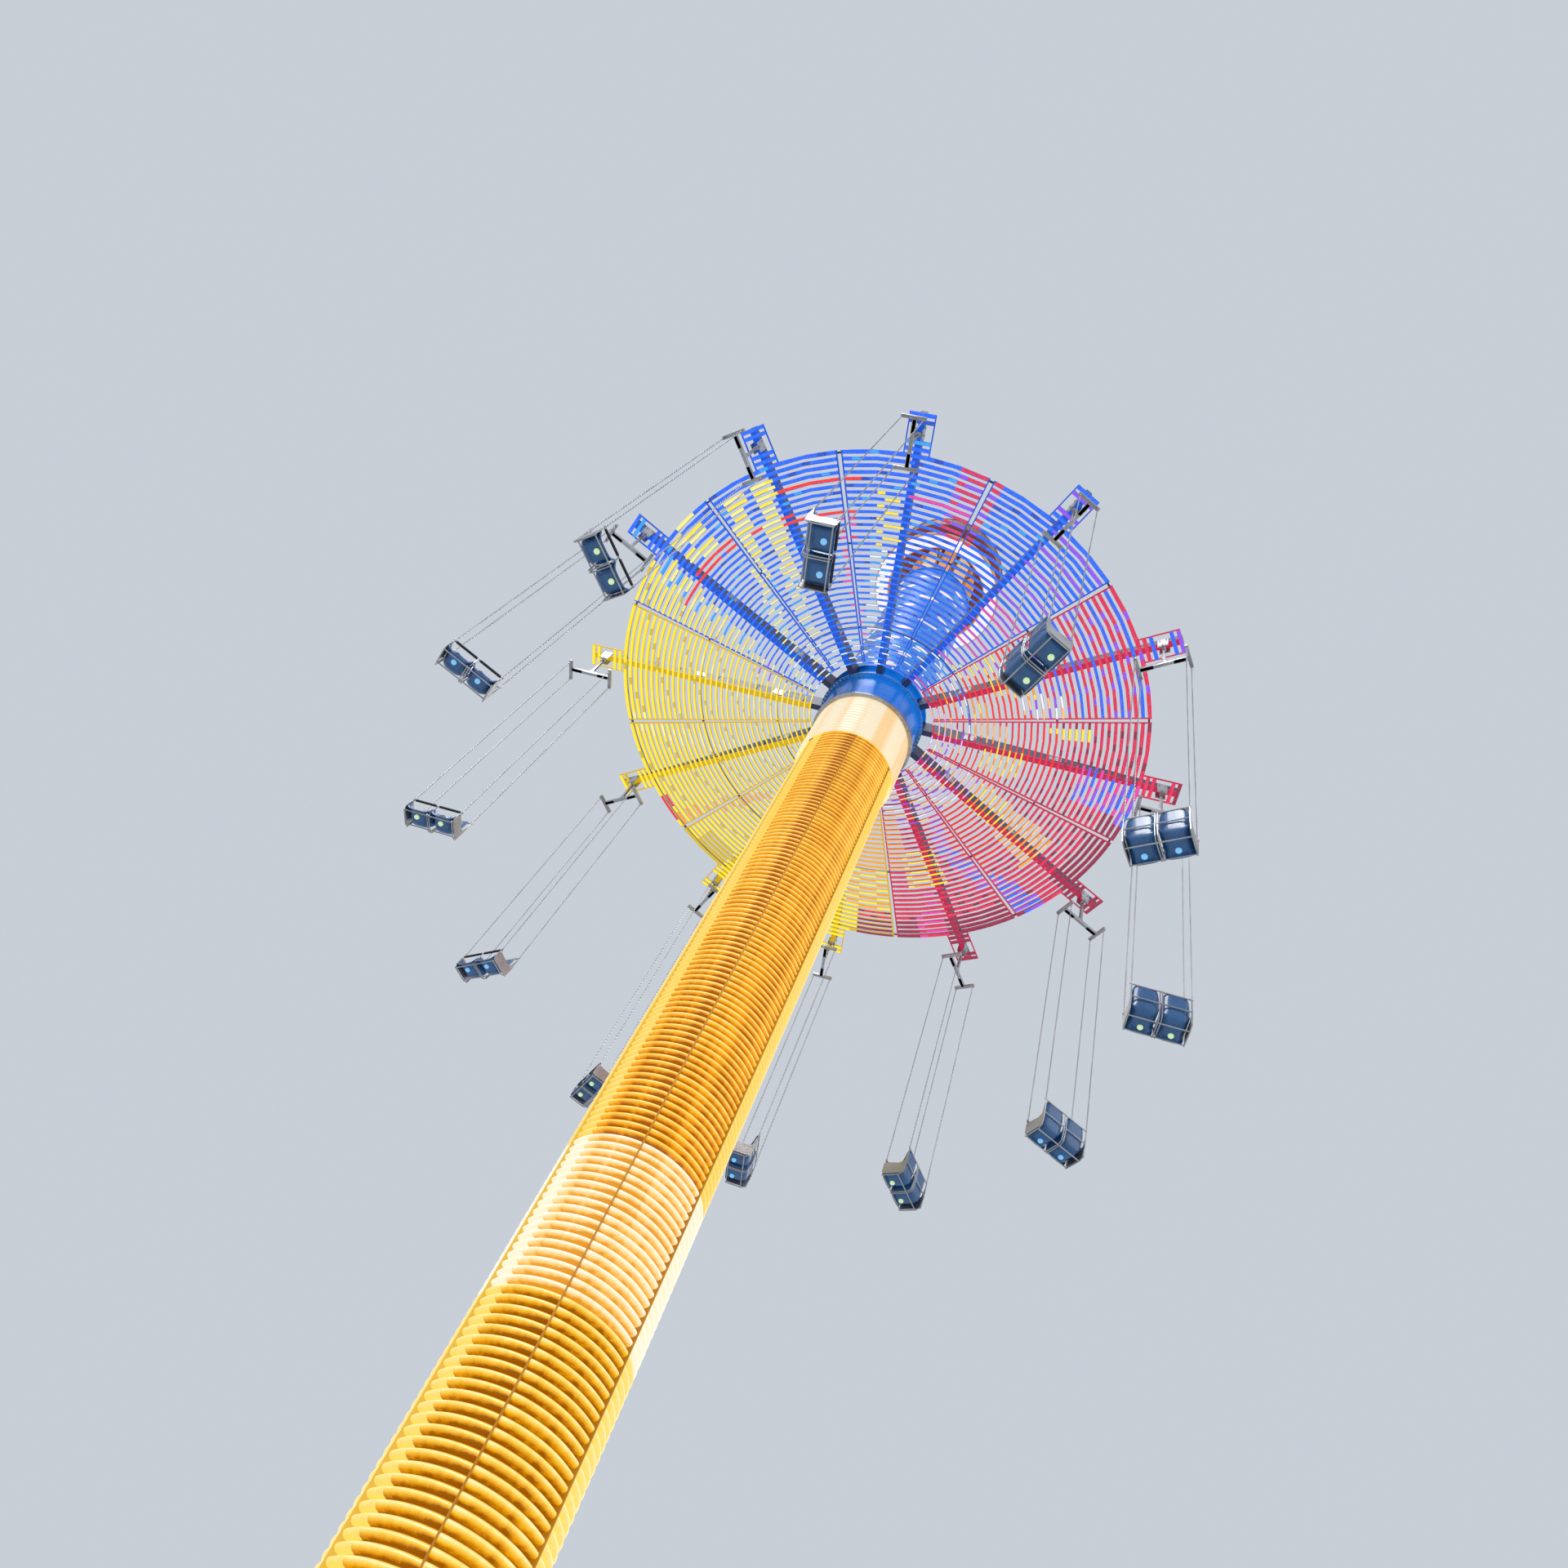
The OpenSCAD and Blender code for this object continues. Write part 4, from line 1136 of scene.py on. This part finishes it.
def hang_chairs():
    """Builds each piece of the first chair once and sets a turned copy on every arm."""
    slots = {seat_shell: "chair_steel", seat_frame: "steel", lap_foam: "rubber_black",
             marker_lamps: "stroke_white", hanger: "chair_steel", chain_shackles: "steel",
             chair_chains: "steel"}
    for build, slot in slots.items():
        pattern = build()
        smooth(pattern, 40)
        pattern.data.transform(Matrix.Translation((PIN_X, 0, CHAIR_Z)))
        for chair in range(1, ARMS + 1):
            copy = put_in_scene(f"{pattern.name}_{chair:02d}", pattern.data.copy())
            turn = math.radians((chair - 1) * ARM_STEP + STAR_TURN)
            copy.data.transform(Matrix.Rotation(turn, 4, "Z"))
            if build is marker_lamps and chair % 2 == 0:
                copy.data.materials[0] = BLUE_MARKER
            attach(copy, f"chair_{chair:02d}")
            if build is seat_shell:
                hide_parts(f"twin_chair_{chair:02d}")
        bpy.data.objects.remove(pattern)


# Mast head and crown

def crown_details():
    """Upright ribs on the lantern, beads round both drums' edges and bolts under the plate."""
    drum, drum_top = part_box("crown_drum")
    lantern, lantern_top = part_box("crown_lantern")
    bm = bmesh.new()
    add_box(bm, (lantern_top.x - 0.002, -0.018, lantern.z + 0.03),
            (lantern_top.x + 0.025, 0.018, lantern_top.z - 0.03))
    spread("lantern_ribs", bm, CROWN_BRONZE, "tower", "crown_brown", 24, edge=(0.006, 2))
    bm = bmesh.new()
    for height in (drum.z + 0.03, drum_top.z - 0.03):
        add_hoop(bm, drum_top.x, height, 120, 0.020)
    for height in (lantern.z + 0.04, lantern_top.z - 0.03):
        add_hoop(bm, lantern_top.x + 0.002, height, 120, 0.018)
    fit(new_object("crown_beads", bm, CROWN_BRONZE), "tower", "crown_brown")
    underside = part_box("crown_plate")[0].z
    bolt_circle("crown_bolts", 1.55, underside, 36, "tower", "crown_brown", CROWN_RED, down=True,
                head=0.02, washer=0.03)


def halo_details():
    """Clips that hold the halo's diffuser."""
    bm = bmesh.new()
    for side in (-1, 1):
        add_box(bm, (HALO_MIDDLE_R + side * 0.201, -0.025, HALO_LOW + 0.04),
                (HALO_MIDDLE_R + side * 0.2192, 0.025, HALO_HIGH - 0.01))
    spread("halo_clips", bm, STEEL, "tower", "steel", HALO_PANELS, 180 / HALO_PANELS, edge=(0.003, 1))


def dress(node, finish):
    """Gives a CAD node's mesh its finish."""
    for slot in cad[node].material_slots:
        slot.material = finish


def carry_over():
    """Finishes of the solids that keep their own shape."""
    housings = {"yellow": ((0.20, 0.14, 0.005), (1.0, 0.60, 0.0)),
                "blue": ((0.004, 0.018, 0.13), (0.0, 0.14, 1.0)),
                "red": ((0.10, 0.008, 0.02), (0.85, 0.02, 0.10))}
    for colour, (paint, glow) in housings.items():
        dress(f"light_bars_{colour}", bar_housing(f"bar_housing_{colour}", paint, glow))
    staves = {"cream": ((1.0, 0.55, 0.20), (1.0, 0.82, 0.50), (0.62, 0.50, 0.32)),
              "orange": ((0.95, 0.30, 0.03), (1.0, 0.50, 0.12), (0.56, 0.26, 0.07))}
    for colour, paints in staves.items():
        dress(f"head_staves_{colour}", lit_stave(f"stave_{colour}", *paints))
    dress("lamp_collar", collar_panel())
    dress("halo_lamp", halo_diffuser())
    shared = {SLEEVE_BLUE: ("blue_sleeve", "star_hub"),
              ARM_NAVY: ("star_arms", "hoop_rails"),
              STEEL: ("hanger_lugs", "slewing_race"),
              BLACK_FOAM: ("guide_shoes",),
              BLADE_AMBER: ("guide_blades",),
              FOOT_GREY: ("base_flange",),
              MAST_BRONZE: ("mast_foot", "mast_shaft", "mast_upper"),
              CROWN_RED: ("crown_plate",),
              CROWN_BRONZE: ("halo_brackets", "crown_drum", "crown_lantern", "crown_cap")}
    for finish, nodes in shared.items():
        for node in nodes:
            dress(node, finish)


# Floor, light and camera

def daylight():
    """Pale backdrop for the camera, plain soft light for the object."""
    world = bpy.data.worlds.new("studio")
    bpy.context.scene.world = world
    world.use_nodes = True
    world.node_tree.nodes.clear()
    bench = Bench(world.node_tree)
    path = bench.add("ShaderNodeLightPath")
    seen = path.out("Is Camera Ray").math("MAXIMUM", path.out("Is Glossy Ray"))
    seen = seen.math("MAXIMUM", path.out("Is Transmission Ray"))
    backdrop = bench.add("ShaderNodeBackground", {"Color": (0.58, 0.62, 0.68), "Strength": 1.0})
    fill = bench.add("ShaderNodeBackground", {"Color": (0.94, 0.97, 1.0), "Strength": 0.42})
    both = bench.add("ShaderNodeMixShader", {0: seen, 1: fill, 2: backdrop})
    bench.add("ShaderNodeOutputWorld", {"Surface": both})
    # Name, strength, spread, heading and height of each sun
    suns = (("key", 1.5, 25, 235, 48), ("fill", 0.6, 60, 330, 20), ("back", 0.5, 60, 90, 35))
    for name, strength, spread, heading, height in suns:
        lamp = bpy.data.lights.new(name, "SUN")
        lamp.energy = strength
        lamp.angle = math.radians(spread)
        c, s = round_points(heading)
        flat, up = round_points(height)
        sun = put_in_scene(name, lamp)
        sun.rotation_euler = Vector((c * flat, s * flat, up)).to_track_quat("Z", "Y").to_euler()


def floor():
    """A wide round floor just under the foot, which isn't part of the object."""
    f = Finish("studio_floor")
    mottle = f.noise(0.4, 3)
    paint = f.surface(f.mix(mottle, (0.60, 0.63, 0.67), (0.65, 0.68, 0.72)), 0.8)
    bm = bmesh.new()
    bmesh.ops.create_circle(bm, cap_ends=True, segments=96, radius=160)
    plate = new_object("studio_floor", bm, paint, outward=False)
    plate.location.z = -0.002


def camera():
    """The photograph's viewpoint: standing close to the mast and looking steeply up, tilted sideways."""
    distance, around, eye_height = 13.0, -82.3, 1.5
    heading, rise, roll = 102.1, 55.5, 30.7
    lens = bpy.data.cameras.new("camera")
    lens.sensor_width = 36
    lens.lens = 25.5
    lens.clip_end = 500
    view = put_in_scene("camera", lens)
    c, s = round_points(heading)
    flat, up = round_points(rise)
    forward = Vector((c * flat, s * flat, up))
    level = forward.cross(Vector((0, 0, 1))).normalized()
    upright = level.cross(forward)
    cr, sr = round_points(roll)
    right = level * cr + upright * sr
    top = upright * cr - level * sr
    c, s = round_points(around)
    turn = Matrix((right, top, -forward)).transposed().to_4x4()
    view.matrix_world = Matrix.Translation((distance * c, distance * s, eye_height)) @ turn
    bpy.context.scene.camera = view


camera()
daylight()
floor()
ring_lamps("ring_lamps_foot", GOLD_LENS, GOLD_TROUGH, "lamp_gold")
ring_lamps("ring_lamps_cream", CREAM_LENS, CREAM_TROUGH, "lamp_cream")
ring_lamps("ring_lamps_shaft", AMBER_LENS, AMBER_TROUGH, "lamp_gold")
ring_lamps("ring_lamps_upper", AMBER_LENS, AMBER_TROUGH, "lamp_gold")
fan_lamps("yellow", 3)
fan_lamps("blue", 7)
fan_lamps("red", 11)
sleeve_dashes()
hub_details()
arm_details()
hang_chairs()
pin_heads()
crown_details()
halo_details()
anchor_bolts()
weld_beads()
carry_over()

bpy.context.scene.view_settings.view_transform = "Standard"
